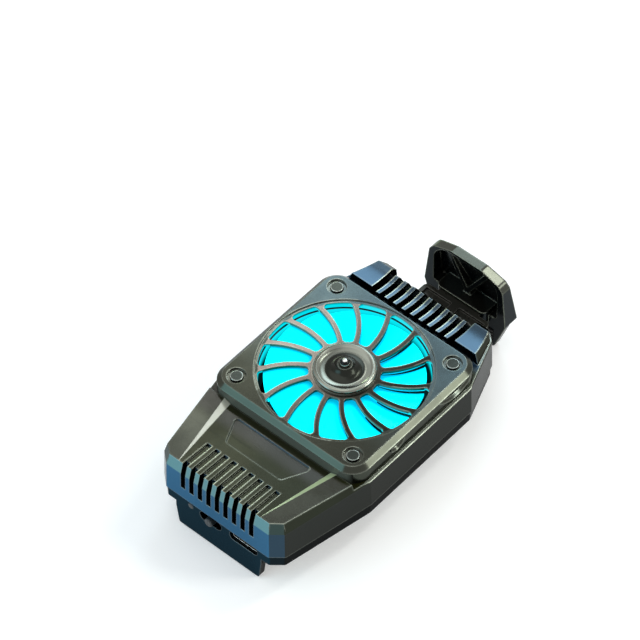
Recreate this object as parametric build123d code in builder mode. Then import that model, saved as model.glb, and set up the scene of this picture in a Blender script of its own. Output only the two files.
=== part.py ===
from build123d import *
import os
from math import cos, degrees, atan, radians, sin, sqrt, tan

# A clip-on cooling fan for the back of a phone. Millimetres, +Z up, +X across the phone towards
# the sliding jaw, +Y to the left of it. The origin is the middle of the cooling face, on the
# phone's back and on the fan's axis.

# Heights above the phone's back
base_lift = 1.3  # underside of the lower shell, filled by the pad and the heat sink
parting_height = 4.3  # joint between the two shells
shoulder_height = 11.8  # top of the upright side wall
ledge_height = 12.2  # seat of the fan cover
deck_height = 14.6  # top of the near end
cover_height = 16.5  # flat top of the fan cover

# Plan of the housing, from the fan's axis
end_wall_reach = 40.4
end_wall_width = 28.2
end_facet_depth = 2.4
end_facet_width = 33.8
waist_reach = 16.2
body_width = 42.6
shoulder_reach = 16.2
far_facet_reach = 28.8
far_facet_width = 33.2
far_wall_reach = 30.6
far_wall_width = 29.2
plan_rounding = 0.7

# Shell walls
shell_wall = 1.8
floor_thickness = 0.9
roof_thickness = 1.5
wall_draft = 2.0  # degrees
rail_slope = 16.0  # degrees
ledge_land = 0.2  # flat of the ledge outside the fan cover
lower_setback = 0.35  # the lower shell stands back under the ridge
seat_gap = 0.1  # between pieces of one body that only locate each other
slide_gap = 0.2  # between the clamp and what guides it
cut_over = 1.0  # how far a cutting shape runs past the material
corner_angle = 45  # degrees, towards a corner of the fan
quarter_turn = 90
near_edge = 0.1  # how close a corner lies to the line that picks it

# Near end: rails, sunk deck, grooves and slots
rail_reach = 19.0  # the rails run past the fan cover's corners to here
rail_drop = 1.0  # fall of the rails towards the fan
deck_dip = 0.75  # the deck's further fall towards the fan
deck_near_width = 21.9
deck_fan_width = 28.4
deck_flare = 1.7  # sideways run of the facet between rail and deck at the fan
vent_count = 9
vent_pitch = 2.35
vent_width = 1.2
groove_depth = 0.55
groove_reach = 31.8  # the grooves start here and run to the end wall
slot_foot_height = 7.5
panel_reach = 22.4
panel_length = 6.6
panel_near_width = 15.0
panel_fan_width = 21.0
panel_depth = 0.3

# Fan cover
cover_setback = 1.0  # from the housing's long sides
cover_corner = 4.6
cover_chamfer = 1.15
cover_wall = 1.1
cover_top_thickness = 2.0
grille_thickness = 1.0  # over the rotor, with the round recess above it
grille_border = 1.3  # from the cover's side to the recess
grille_recess_depth = 0.3
opening_count = 15
opening_border = 0.6  # from the recess to the openings
opening_inner = 7.6
rotor_room_gap = 0.2  # outside the openings
opening_rounding = 0.85
spoke_width = 1.05
spoke_bend = 18.1  # radius of a spoke's curve
skirt_dip_bevel = 35.0  # degrees, slope of a dip's sill
skirt_dip_depth = 0.7
skirt_dip_land = 0.2  # between a dip and the bevel above
long_dip = (12.3, 11.8, 2.5)  # place along X, width and depth of the long dip in the skirt
short_dip = (-6.9, 5.2, 2.1)

# Hub cap and its pin
hub_radius = 6.7
hub_rim_height = 0.85
hub_rim_width = 0.8
hub_rim_shoulder = 0.35
hub_dish_height = 0.3
hub_dish_rise = 0.12  # of the dish, halfway to the rim
cone_radius = 4.2
cone_height = 1.6
cone_top_radius = 1.65
cone_waist = 0.3  # how far the cone's side curves in
cone_waist_rise = 0.5
pin_radius = 1.1
pin_height = 3.1
pin_seat_radius = 1.45
pin_seat_depth = 0.45

# Fan cover screws, on a standard 40 mm fan's pattern
fan_screw_inset = 2.8  # from the fan's sides
fan_screw_head = 1.4
fan_screw_ring = 2.05
fan_screw_shank = 0.8
fan_screw_length = 7.5
ring_groove_depth = 0.5
fan_screw_head_depth = 0.8

# Fan
fan_side_gap = 0.4  # fan frame to its well
fan_corner = 2.6
fan_wall = 0.5  # of the fan frame where it is thinnest
fan_top_gap = 0.2  # under the cover
fan_outlet_width = 18.0
rotor_gap = 1.2  # blade tips to the bore
blade_count = 15
blade_arc = 22.7  # degrees that one blade covers
blade_root_depth = 0.5
blade_rise_root = 0.7
blade_rise_tip = 1.2
blade_thickness = 0.8
rotor_drop = 0.35  # blades under the grille
hub_cup_radius = 6.9
hub_cup_wall = 0.7
hub_cup_top = 1.2
cup_skirt = 0.8  # of the cup below the magnets
rotor_boss_wall = 0.8
rotor_boss_gap = 0.4  # between the rotor's boss and the bush
shaft_cover = 0.4  # of the cup over the shaft's end
shaft_foot_gap = 0.2
magnet_thickness = 0.6
magnet_height = 6.0
strut_count = 4
strut_width = 1.6
strut_height = 1.0
strut_root = 0.5  # of a strut in the frame
motor_seat_radius = 6.6
motor_board_radius = 6.2
motor_board_thickness = 0.6
shaft_radius = 0.75
shaft_running_gap = 0.05
bush_wall = 0.8
bush_height = 6.6
stator_radius = 5.1
stator_height = 6.0
stator_core_radius = 2.6
pole_count = 4
pole_width = 1.5
pole_shoe_thickness = 0.9
pole_shoe_width = 4.6
lamp_count = 4
fan_lamp_size = (1.0, 2.2, 1.2)
fan_lamp_height = 10.0

# Exhaust end: posts and ribs
post_gap = 1.3  # from the fan cover's side to the posts
post_inner = 11.4  # half the width between the posts
post_foot_rise = 0.3
post_height = 14.75
post_foot_setbacks = (0.0, 0.4, 0.3)  # from the near edge, the far facet and the far wall
post_top_setbacks = (0.6, 0.1, 0.6)
post_foot_widths = (7.0, 4.7, 2.9)  # at the near edge, the far facet and the far wall
post_top_widths = (5.6, 3.7, 2.3)
crown_middle_setback = 3.4  # middle of the curve of a post's top, from the far facet
crown_fall = 0.45  # of a post's top, up to the far facet
post_end_fall = 2.2  # of a post's top, at the far wall
mouth_setback = 0.4
rib_far_reach = 28.0
rib_drop = 0.1  # of the ribs under the posts
rib_fall = 0.6  # of a rib at its far end
rib_brow = (28.7, 13.35)
rib_setback = 0.3
rib_root = 0.6
rib_thickness = 1.0
rib_foot_height = 9.4
rib_sag = 0.55
exhaust_sill_height = 9.9
exhaust_duct_height = 9.5
far_wall_thickness = 1.8

# Clamp arm and its channel
arm_width = 18.0
arm_thickness = 1.7
arm_tail_reach = 4.4
arm_shoulder_gap = 0.4  # from the jaw's block
arm_tongue_width = 11.2
arm_tongue_length = 3.0  # in the jaw's block
arm_ear_width = 24.4
arm_ear_length = 3.0
arm_corner = 1.2
arm_rail_width = 2.2  # left standing between the arm's two shallow pockets
arm_pocket_depth = 0.6
arm_pocket_border = 1.0
stop_reach = 19.0
stop_radius = 1.8
travel_in = 7.0
travel_out = 10.0
stop_slot_side_gap = 0.35
stop_slot_end_gap = 0.3
guide_thickness = 0.8
guide_reach = 18.6
trough_inner = 12.5  # half width of the channel with the springs
trough_wall = 0.8
trough_reach = 4.4  # the channel's cover starts this far before the fan's axis
slide_cover_thickness = 0.8
cover_slot_size = (8.4, 1.4)
cover_slot_pitch = 3.5
cover_slot_rows = 4
cover_slot_middle = 5.05
cover_slot_spread = 13.2  # between the two columns of slots
spring_radius = 0.9
spring_wire = 0.35
spring_place = 11.2

# Clamp jaw
jaw_face_reach = 39.6  # inner face of the jaw as photographed
jaw_thickness = 4.4
jaw_widest = 22.6
jaw_widest_height = 2.3
jaw_shoulder_width = 20.4
jaw_shoulder_height = 12.7
jaw_crown_width = 18.2
jaw_crown_height = 14.3
jaw_top_width = 8.4
jaw_top_height = 16.1
jaw_foot_width = 16.9
jaw_foot_height = -6.0
jaw_foot_thickness = 1.6  # below the widest part
jaw_lean = 2.0  # the outer face leans in this much at the top
jaw_rim = 2.5  # beside the pocket
jaw_top_rim = 0.8
jaw_back = 1.15
jaw_edge_rounding = 1.4
jaw_back_bevel = 0.35
jaw_pocket_rounding = 4.5
jaw_pocket_foot_rounding = 0.9
brace_setback = 0.7  # from the inner face
brace_root = 0.3  # of a brace in the jaw
brace_width = 1.1
brace_centre_height = 5.6
brace_angle = 31.0  # degrees from upright
block_width = 13.4
block_front_depth = 1.7  # in front of the jaw's inner face
block_bottom = 0.8
block_top = 4.9
block_rounding = 1.2
comb_pitch = 1.1
comb_width = 0.5
comb_depth = 0.5
comb_land = 0.4
comb_count = 10
jaw_pin_spacing = 6.6
jaw_pin_depth = 1.0  # behind the block's front
jaw_pin_radius = 0.45
jaw_pin_setback = 0.1  # the pins end this far inside the block's underside
jaw_pin_rise = 0.2  # and this far above the arm

# Fixed jaw and the grips
skirt_face_reach = 38.4
skirt_top_width = 23.6
skirt_foot_width = 22.0
skirt_foot_height = -6.0
skirt_rounding = 0.7
grip_thickness = 0.6
grip_width = 16.0
grip_top = -0.7
grip_foot = -5.3
grip_seat_depth = 0.3
grip_groove_width = 0.5
grip_groove_depth = 0.25
grip_groove_pitch = 1.1
grip_groove_count = 4

# End panel: indicator, switch and charging socket
lamp_place = 7.6
lamp_height = 2.7
lamp_radius = 0.6
lamp_fit = 0.05
lamp_block_length = 1.6
lens_flange = 0.25  # the lens's collar is this much larger than its hole
lens_collar_length = 0.4
switch_place = 2.1
switch_height = 2.4
switch_opening_width = 6.0
switch_opening_height = 2.8
switch_travel = 1.2  # each way from the middle
knob_radius = 1.05
knob_proud = 0.9
knob_stem_width = 1.2
knob_stem_height = 0.8
knob_gap = 0.3
knob_edge_rounding = 0.3
switch_body_size = (3.2, 7.2, 2.3)
switch_slot_depth = 1.9
socket_place = -7.0
socket_size = (5.2, 7.4, 2.3)
socket_foot_height = 1.45
socket_wall = 0.25
socket_rounding = 1.0
socket_back = 0.6
socket_tongue_size = (4.2, 4.6, 0.6)
socket_recess = 0.7  # mouth behind the end panel
component_window_length = 5.4

# Circuit board and battery cell
board_length = 16.0
board_width = 23.0
board_thickness = 0.8
board_post_radius = 1.2
fan_post_inset = 1.8  # from the fan's sides, under its near corners
fan_post_radius = 1.0
pin_gap = 0.03
board_edge_gap = 0.4
wire_way_width = 18.0
board_post_places = [(-24.0, 9.0), (-24.0, -9.0), (-31.0, 9.8)]
cell_length = 14.4
cell_width = 22.0
cell_thickness = 5.2
cell_rounding = 1.4

# Housing screws
near_boss = (-33.5, 15.0)
far_boss = (24.5, 15.3)
boss_radius = 2.3
boss_hole = 0.85
boss_hole_top = 9.6
boss_root = 0.2
housing_screw_head = 1.7
housing_screw_head_depth = 1.0
housing_screw_shank = 0.8
housing_screw_length = 6.6
drive_width = 0.5
drive_depth = 0.45
drive_length = 2.0

# Heat sink and pad
sink_side = 30.0
sink_fin_reach = 14.2
sink_fin_end = 4.9
sink_fin_width = 27.2
sink_fin_thickness = 0.8
sink_fin_height = 4.9
pad_setback = 2.6
pad_gap = 0.3
sink_plate_rounding = 1.5
sink_fin_count = 12

os.makedirs("parts", exist_ok=True)


def both_sides(points):
    # a closed outline from its points on the +Y side, given from one end to the other
    return [(x, -y) for x, y in points] + points[::-1]


def side_plane(y):
    # upright plane at y, seen from -Y, with the sketch's axes along X and Z
    return Plane(origin=(0, y, 0), x_dir=(1, 0, 0), z_dir=(0, -1, 0))


def end_plane(x):
    # upright plane at x, with the sketch's axes along Y and Z
    return Plane(origin=(x, 0, 0), x_dir=(0, 1, 0), z_dir=(1, 0, 0))


def post_corners(setbacks, widths):
    # corners of the end post on the +Y side, given its set-backs and its widths outside the ribs
    near, facet, far = setbacks
    near_width, facet_width, far_width = widths
    return [(post_near_reach + near, post_inner), (post_near_reach + near, post_inner + near_width),
            (far_facet_reach - facet, post_inner + facet_width),
            (far_wall_reach - far, post_inner + far_width), (far_wall_reach - far, post_inner)]


def spoke_turn(reach):
    # degrees that a spoke's middle line has turned at this reach from the axis
    run = max(reach - opening_inner, 0)
    return degrees(atan((spoke_bend - sqrt(spoke_bend ** 2 - run ** 2)) / reach))


housing_plan = both_sides([
    (-end_wall_reach, end_wall_width / 2),
    (-end_wall_reach + end_facet_depth, end_facet_width / 2),
    (-waist_reach, body_width / 2),
    (shoulder_reach, body_width / 2),
    (far_facet_reach, far_facet_width / 2),
    (far_wall_reach, far_wall_width / 2),
])
floor_top = base_lift + floor_thickness
cover_side = body_width - 2 * cover_setback
post_near_reach = cover_side / 2 + post_gap
grille_recess_radius = cover_side / 2 - grille_border
opening_outer = grille_recess_radius - opening_border
fan_foot = parting_height + slide_cover_thickness
fan_top = cover_height - cover_top_thickness - fan_top_gap
fan_well = cover_side - 2 * cover_wall
fan_side = fan_well - 2 * fan_side_gap
fan_bore = fan_side / 2 - fan_wall
fan_post_place = fan_side / 2 - fan_post_inset
rotor_top = cover_height - grille_thickness - rotor_drop
motor_seat_top = fan_foot + strut_height
motor_board_top = motor_seat_top + motor_board_thickness
arm_foot = floor_top + slide_gap
board_foot = socket_foot_height + socket_size[2]
vent_rows = [(i - (vent_count - 1) / 2) * vent_pitch for i in range(vent_count)]
far_wall_inner = far_wall_reach - far_wall_thickness
roof_height = deck_height - rail_drop - deck_dip - roof_thickness
partition_reach = fan_well / 2 + shell_wall
boss_places = [(x, side * y) for x, y in (near_boss, far_boss) for side in (1, -1)]
block_front_reach = jaw_face_reach - block_front_depth
arm_shoulder_reach = block_front_reach - arm_shoulder_gap
arm_tongue_reach = block_front_reach + arm_tongue_length
jaw_back_reach = jaw_face_reach + jaw_thickness
jaw_pin_places = [(block_front_reach + jaw_pin_depth, side * jaw_pin_spacing / 2) for side in (1, -1)]
jaw_pin_top = arm_foot + arm_thickness + jaw_pin_rise
fan_screw_spacing = fan_side - 2 * fan_screw_inset
fan_screw_grid = GridLocations(fan_screw_spacing, fan_screw_spacing, 2, 2)

# Upper shell: draughted wall, sunk deck between two rails, fan well, exhaust chamber with its ribs
near_length = end_wall_reach - rail_reach
deck_fall = rail_drop + deck_dip
deck_slope = degrees(atan(deck_fall / near_length))
deck_plane = Plane(
    origin=(-rail_reach, 0, deck_height - deck_fall), x_dir=(-cos(radians(deck_slope)), 0,
                                                          sin(radians(deck_slope))),
    z_dir=(sin(radians(deck_slope)), 0, cos(radians(deck_slope))))
with BuildPart() as upper_shell:
    with BuildSketch(Plane.XY.offset(parting_height)) as wall_plan:
        Polygon(*housing_plan, align=None)
        fillet(wall_plan.vertices(), radius=plan_rounding)
    extrude(amount=shoulder_height - parting_height, taper=wall_draft)
    upper_inset = (shoulder_height - parting_height) * tan(radians(wall_draft))
    with BuildSketch(Plane.XY.offset(shoulder_height)) as shoulder_plan:
        Polygon(*housing_plan, align=None)
        offset(amount=-upper_inset, kind=Kind.INTERSECTION)
        fillet(shoulder_plan.vertices(), radius=plan_rounding)
    extrude(amount=deck_height - shoulder_height, taper=rail_slope)
    # the rails fall towards the fan
    with BuildSketch(Plane.XZ) as rail_fall:
        Polygon((-end_wall_reach, deck_height), (-rail_reach, deck_height - rail_drop),
                (-rail_reach, deck_height + cut_over), (-end_wall_reach, deck_height + cut_over), align=None)
    extrude(amount=body_width, both=True, mode=Mode.SUBTRACT)
    # all but the near end is lowered to the fan cover's seat
    with BuildSketch(Plane.XY.offset(ledge_height)) as middle_plan:
        with Locations((-rail_reach, 0)):
            Rectangle(rail_reach + far_wall_reach, body_width, align=(Align.MIN, Align.CENTER))
        Rectangle(cover_side + 2 * seat_gap, cover_side + 2 * seat_gap)
    extrude(amount=deck_height - ledge_height + cut_over, mode=Mode.SUBTRACT)
    # the long ledges beside the fan cover fall outwards
    with BuildSketch(end_plane(-rail_reach)) as ledge_bevels:
        for side in (1, -1):
            Polygon((side * (cover_side / 2 + ledge_land), ledge_height),
                    (side * body_width / 2, ledge_height), (side * body_width / 2, shoulder_height),
                    (side * (body_width / 2 - upper_inset), shoulder_height), align=None)
    extrude(amount=rail_reach + post_near_reach, mode=Mode.SUBTRACT)
    # the deck sinks between the rails
    with BuildSketch(end_plane(-end_wall_reach)) as deck_near:
        Polygon((-deck_near_width / 2, deck_height), (deck_near_width / 2, deck_height),
                (deck_near_width / 2 + deck_flare, deck_height + deck_dip),
                (-deck_near_width / 2 - deck_flare, deck_height + deck_dip), align=None)
    with BuildSketch(end_plane(-rail_reach + cut_over)) as deck_fan:
        fan_side_fall = deck_fall * (near_length + cut_over) / near_length
        Polygon((-deck_fan_width / 2, deck_height - fan_side_fall),
                (deck_fan_width / 2, deck_height - fan_side_fall),
                (deck_fan_width / 2 + 2 * deck_flare, deck_height - fan_side_fall + 2 * deck_dip),
                (-deck_fan_width / 2 - 2 * deck_flare, deck_height - fan_side_fall + 2 * deck_dip),
                align=None)
    loft(ruled=True, mode=Mode.SUBTRACT)
    # plain sunk panel and the grooves, square to the sloping deck
    with BuildSketch(deck_plane) as panel:
        panel_start = panel_reach - rail_reach
        Polygon((panel_start, panel_fan_width / 2), (panel_start, -panel_fan_width / 2),
                (panel_start + panel_length, -panel_near_width / 2),
                (panel_start + panel_length, panel_near_width / 2), align=None)
        fillet(panel.vertices(), radius=plan_rounding)
    extrude(amount=-panel_depth, mode=Mode.SUBTRACT)
    with BuildSketch(deck_plane) as grooves:
        for row in vent_rows:
            with Locations((groove_reach - rail_reach, row)):
                Rectangle(end_wall_reach - groove_reach + cut_over, vent_width,
                          align=(Align.MIN, Align.CENTER))
    extrude(amount=-groove_depth, mode=Mode.SUBTRACT)
    # hollow: near compartment, fan well and exhaust chamber
    with BuildSketch(Plane.XY.offset(parting_height)) as near_room:
        Polygon(*housing_plan, align=None)
        offset(amount=-shell_wall - upper_inset, kind=Kind.INTERSECTION)
        with Locations((-partition_reach, 0)):
            Rectangle(end_wall_reach + far_wall_reach, body_width, align=(Align.MIN, Align.CENTER),
                      mode=Mode.SUBTRACT)
    extrude(amount=roof_height - parting_height, mode=Mode.SUBTRACT)
    with BuildSketch(Plane.XY.offset(parting_height)) as well:
        RectangleRounded(fan_well, fan_well, cover_corner - cover_wall)
    extrude(amount=cover_height - parting_height, mode=Mode.SUBTRACT)
    with BuildSketch(Plane.XY.offset(parting_height)) as wire_way:
        with Locations((-partition_reach - cut_over, 0)):
            Rectangle(shell_wall + 3 * cut_over, wire_way_width, align=(Align.MIN, Align.CENTER))
    extrude(amount=exhaust_duct_height - parting_height, mode=Mode.SUBTRACT)
    with BuildSketch(Plane.XY.offset(parting_height)) as chamber:
        with Locations((fan_well / 2 - cut_over, 0)):
            Rectangle(far_wall_inner - fan_well / 2 + cut_over, 2 * post_inner,
                      align=(Align.MIN, Align.CENTER))
    extrude(amount=exhaust_duct_height - parting_height, mode=Mode.SUBTRACT)
    with BuildSketch(Plane.XY.offset(exhaust_duct_height)) as chamber_mouth:
        with Locations((post_near_reach - mouth_setback, 0)):
            Rectangle(far_wall_inner - post_near_reach + mouth_setback, 2 * post_inner,
                      align=(Align.MIN, Align.CENTER))
    extrude(amount=cover_height, mode=Mode.SUBTRACT)
    with BuildSketch(Plane.XY.offset(exhaust_sill_height)) as exhaust_mouth:
        with Locations((post_near_reach, 0)):
            Rectangle(far_wall_reach, 2 * post_inner, align=(Align.MIN, Align.CENTER))
    extrude(amount=cover_height, mode=Mode.SUBTRACT)
    with BuildSketch(Plane.XY.offset(parting_height)) as cover_pocket:
        with Locations((-trough_reach - seat_gap, 0)):
            Rectangle(trough_reach + seat_gap + far_wall_inner, 2 * (trough_inner + trough_wall + seat_gap),
                      align=(Align.MIN, Align.CENTER))
    extrude(amount=slide_cover_thickness + seat_gap, mode=Mode.SUBTRACT)
    # slots through the end wall
    with BuildSketch(end_plane(-end_wall_reach - cut_over)) as end_slots:
        for row in vent_rows:
            with Locations((row, slot_foot_height)):
                Rectangle(vent_width, deck_height, align=(Align.CENTER, Align.MIN))
    extrude(amount=cut_over + shell_wall + 2 * upper_inset, mode=Mode.SUBTRACT)
    # two end posts, each with a falling top
    for side in (1, -1):
        with BuildSketch(Plane.XY.offset(ledge_height - post_foot_rise)) as post_foot:
            Polygon(*[(x, side * y) for x, y in post_corners(post_foot_setbacks, post_foot_widths)],
                    align=None)
        with BuildSketch(Plane.XY.offset(post_height)) as post_top:
            Polygon(*[(x, side * y) for x, y in post_corners(post_top_setbacks, post_top_widths)],
                    align=None)
        loft(ruled=True)
    with BuildSketch(Plane.XZ) as post_crown:
        with BuildLine():
            crown = ThreePointArc((post_near_reach, post_height),
                                  (far_facet_reach - crown_middle_setback, post_height - rib_sag),
                                  (far_facet_reach, post_height - crown_fall))
            Polyline(crown @ 1, (far_wall_reach, post_height - post_end_fall),
                     (far_wall_reach, post_height + cut_over), (post_near_reach, post_height + cut_over),
                     crown @ 0)
        make_face()
    extrude(amount=body_width, both=True, mode=Mode.SUBTRACT)
    # curved exhaust ribs
    for row in vent_rows:
        with BuildSketch(side_plane(row)) as rib:
            with BuildLine():
                rib_top = ThreePointArc((post_near_reach, post_height - rib_drop),
                                        ((post_near_reach + rib_far_reach) / 2,
                                         post_height - 2 * rib_drop - rib_sag),
                                        (rib_far_reach, post_height - rib_fall))
                Polyline(rib_top @ 1, rib_brow, (far_wall_reach - rib_setback, exhaust_sill_height),
                         (far_wall_reach - rib_setback, rib_foot_height),
                         (post_near_reach - rib_root, rib_foot_height),
                         (post_near_reach - rib_root, ledge_height), (post_near_reach, ledge_height),
                         rib_top @ 0)
            make_face()
        extrude(amount=rib_thickness / 2, both=True)
    # screw bosses
    with BuildSketch(Plane.XY.offset(parting_height)) as bosses:
        with Locations(*[p for p in boss_places if p[0] < 0]):
            Circle(boss_radius)
    extrude(amount=roof_height - parting_height + boss_root)
    with BuildSketch(Plane.XY.offset(parting_height)) as boss_holes:
        with Locations(*boss_places):
            Circle(boss_hole)
    extrude(amount=boss_hole_top - parting_height, mode=Mode.SUBTRACT)
upper_shell.part.label = "upper_shell"
export_step(upper_shell.part, "parts/upper_shell.step")

# Lower shell: shallow tray with the fixed jaw's skirt, the clamp's channel and the component window
with BuildPart() as lower_shell:
    with BuildSketch(Plane.XY.offset(base_lift)) as tray_plan:
        Polygon(*housing_plan, align=None)
        offset(amount=-lower_setback, kind=Kind.INTERSECTION)
        fillet(tray_plan.vertices(), radius=plan_rounding)
    extrude(amount=parting_height - base_lift)
    with BuildSketch(Plane.XY.offset(floor_top)) as tray:
        Polygon(*housing_plan, align=None)
        offset(amount=-shell_wall, kind=Kind.INTERSECTION)
        with Locations((-skirt_face_reach, 0)):
            Rectangle(end_wall_reach, body_width, align=(Align.MAX, Align.CENTER), mode=Mode.SUBTRACT)
    extrude(amount=parting_height - floor_top, mode=Mode.SUBTRACT)
    # skirt of the fixed jaw, below the end panel
    with BuildSketch(end_plane(-end_wall_reach + lower_setback)) as skirt:
        Polygon((-skirt_top_width / 2, floor_top), (-skirt_top_width / 2, -pad_gap),
                (-skirt_foot_width / 2, skirt_foot_height), (skirt_foot_width / 2, skirt_foot_height),
                (skirt_top_width / 2, -pad_gap), (skirt_top_width / 2, floor_top), align=None)
        fillet(skirt.vertices().group_by(Axis.Y)[0], radius=2 * skirt_rounding)
    extrude(amount=end_wall_reach - lower_setback - skirt_face_reach)
    with BuildSketch(Plane.XZ) as foot_round:
        with Locations((-end_wall_reach + lower_setback, skirt_foot_height)):
            Rectangle(skirt_rounding, skirt_rounding, align=(Align.MIN, Align.MIN))
        with Locations((-end_wall_reach + lower_setback + skirt_rounding,
                        skirt_foot_height + skirt_rounding)):
            Circle(skirt_rounding, mode=Mode.SUBTRACT)
    extrude(amount=skirt_top_width, both=True, mode=Mode.SUBTRACT)
    with BuildSketch(end_plane(-skirt_face_reach - grip_seat_depth)) as fixed_grip_seat:
        with Locations((0, grip_foot)):
            Rectangle(grip_width, grip_top - grip_foot, align=(Align.CENTER, Align.MIN))
    extrude(amount=grip_seat_depth, mode=Mode.SUBTRACT)
    # posts, bosses and the clamp's guides
    with BuildSketch(Plane.XY.offset(floor_top)) as tall_posts:
        with Locations(*boss_places):
            Circle(boss_radius)
        with Locations((stop_reach, 0)):
            Circle(stop_radius)
        guide_end = far_wall_inner - guide_reach
        for side in (1, -1):
            with Locations((guide_reach, side * (arm_width / 2 + slide_gap))):
                Rectangle(guide_end, guide_thickness,
                          align=(Align.MIN, Align.MIN if side > 0 else Align.MAX))
            with Locations((-trough_reach, side * trough_inner)):
                Rectangle(trough_reach + far_wall_inner, trough_wall,
                          align=(Align.MIN, Align.MIN if side > 0 else Align.MAX))
    extrude(amount=parting_height - floor_top)
    with BuildSketch(Plane.XY.offset(floor_top)) as board_posts:
        with Locations(*board_post_places):
            Circle(board_post_radius)
    extrude(amount=board_foot - floor_top)
    with BuildSketch(Plane.XY.offset(floor_top)) as fan_posts:
        with Locations((-fan_post_place, fan_post_place), (-fan_post_place, -fan_post_place)):
            Circle(fan_post_radius)
    extrude(amount=fan_foot - floor_top)
    # slot for the arm through the far wall
    with BuildSketch(Plane.XY.offset(floor_top)) as arm_slot:
        with Locations((far_wall_inner - cut_over, 0)):
            Rectangle(far_wall_thickness + 2 * cut_over, arm_width + 2 * slide_gap,
                      align=(Align.MIN, Align.CENTER))
    extrude(amount=parting_height - floor_top, mode=Mode.SUBTRACT)
    # windows for the heat sink's fins and for the socket and switch
    with BuildSketch(Plane.XY.offset(base_lift)) as windows:
        with Locations((-sink_fin_reach - pad_gap, 0)):
            Rectangle(sink_fin_reach - sink_fin_end + 2 * pad_gap, sink_fin_width + 2 * pad_gap,
                      align=(Align.MIN, Align.CENTER))
        window_start = socket_place - socket_size[1] / 2 - pad_gap
        with Locations((-skirt_face_reach, window_start)):
            Rectangle(component_window_length,
                      lamp_place + lamp_radius + lens_flange - window_start + pad_gap,
                      align=(Align.MIN, Align.MIN))
    extrude(amount=floor_thickness, mode=Mode.SUBTRACT)
    # end panel: lamp hole, switch opening and socket mouth
    with BuildSketch(end_plane(-end_wall_reach)) as panel_holes:
        with Locations((lamp_place, lamp_height)):
            Circle(lamp_radius + lamp_fit)
        with Locations((switch_place, switch_height)):
            SlotOverall(switch_opening_width, switch_opening_height)
        with Locations((socket_place, socket_foot_height + socket_size[2] / 2)):
            RectangleRounded(socket_size[1] + 2 * seat_gap, socket_size[2] + 2 * seat_gap, socket_rounding)
    extrude(amount=end_wall_reach - skirt_face_reach, mode=Mode.SUBTRACT)
    # screw holes with their counterbores from below
    with BuildSketch(Plane.XY.offset(base_lift)) as screw_holes:
        with Locations(*boss_places):
            Circle(boss_hole)
    extrude(amount=parting_height - base_lift, mode=Mode.SUBTRACT)
    with BuildSketch(Plane.XY.offset(base_lift)) as screw_sinks:
        with Locations(*boss_places):
            Circle(housing_screw_head + seat_gap)
    extrude(amount=housing_screw_head_depth, mode=Mode.SUBTRACT)
lower_shell.part.label = "lower_shell"
export_step(lower_shell.part, "parts/lower_shell.step")

# Housing screws, driven from below
with BuildPart() as housing_screws:
    with BuildSketch(Plane.XY.offset(base_lift + seat_gap / 2)) as screw_heads:
        with Locations(*boss_places):
            Circle(housing_screw_head)
    extrude(amount=housing_screw_head_depth - seat_gap / 2)
    with BuildSketch(Plane.XY.offset(base_lift + housing_screw_head_depth)) as screw_shanks:
        with Locations(*boss_places):
            Circle(housing_screw_shank)
    extrude(amount=housing_screw_length)
    with BuildSketch(Plane.XY.offset(base_lift + seat_gap / 2)) as screw_drives:
        with Locations(*boss_places):
            Rectangle(drive_length, drive_width)
            Rectangle(drive_width, drive_length)
    extrude(amount=drive_depth, mode=Mode.SUBTRACT)
housing_screws.part.label = "housing_screws"
export_step(housing_screws.part, "parts/housing_screws.step")

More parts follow.
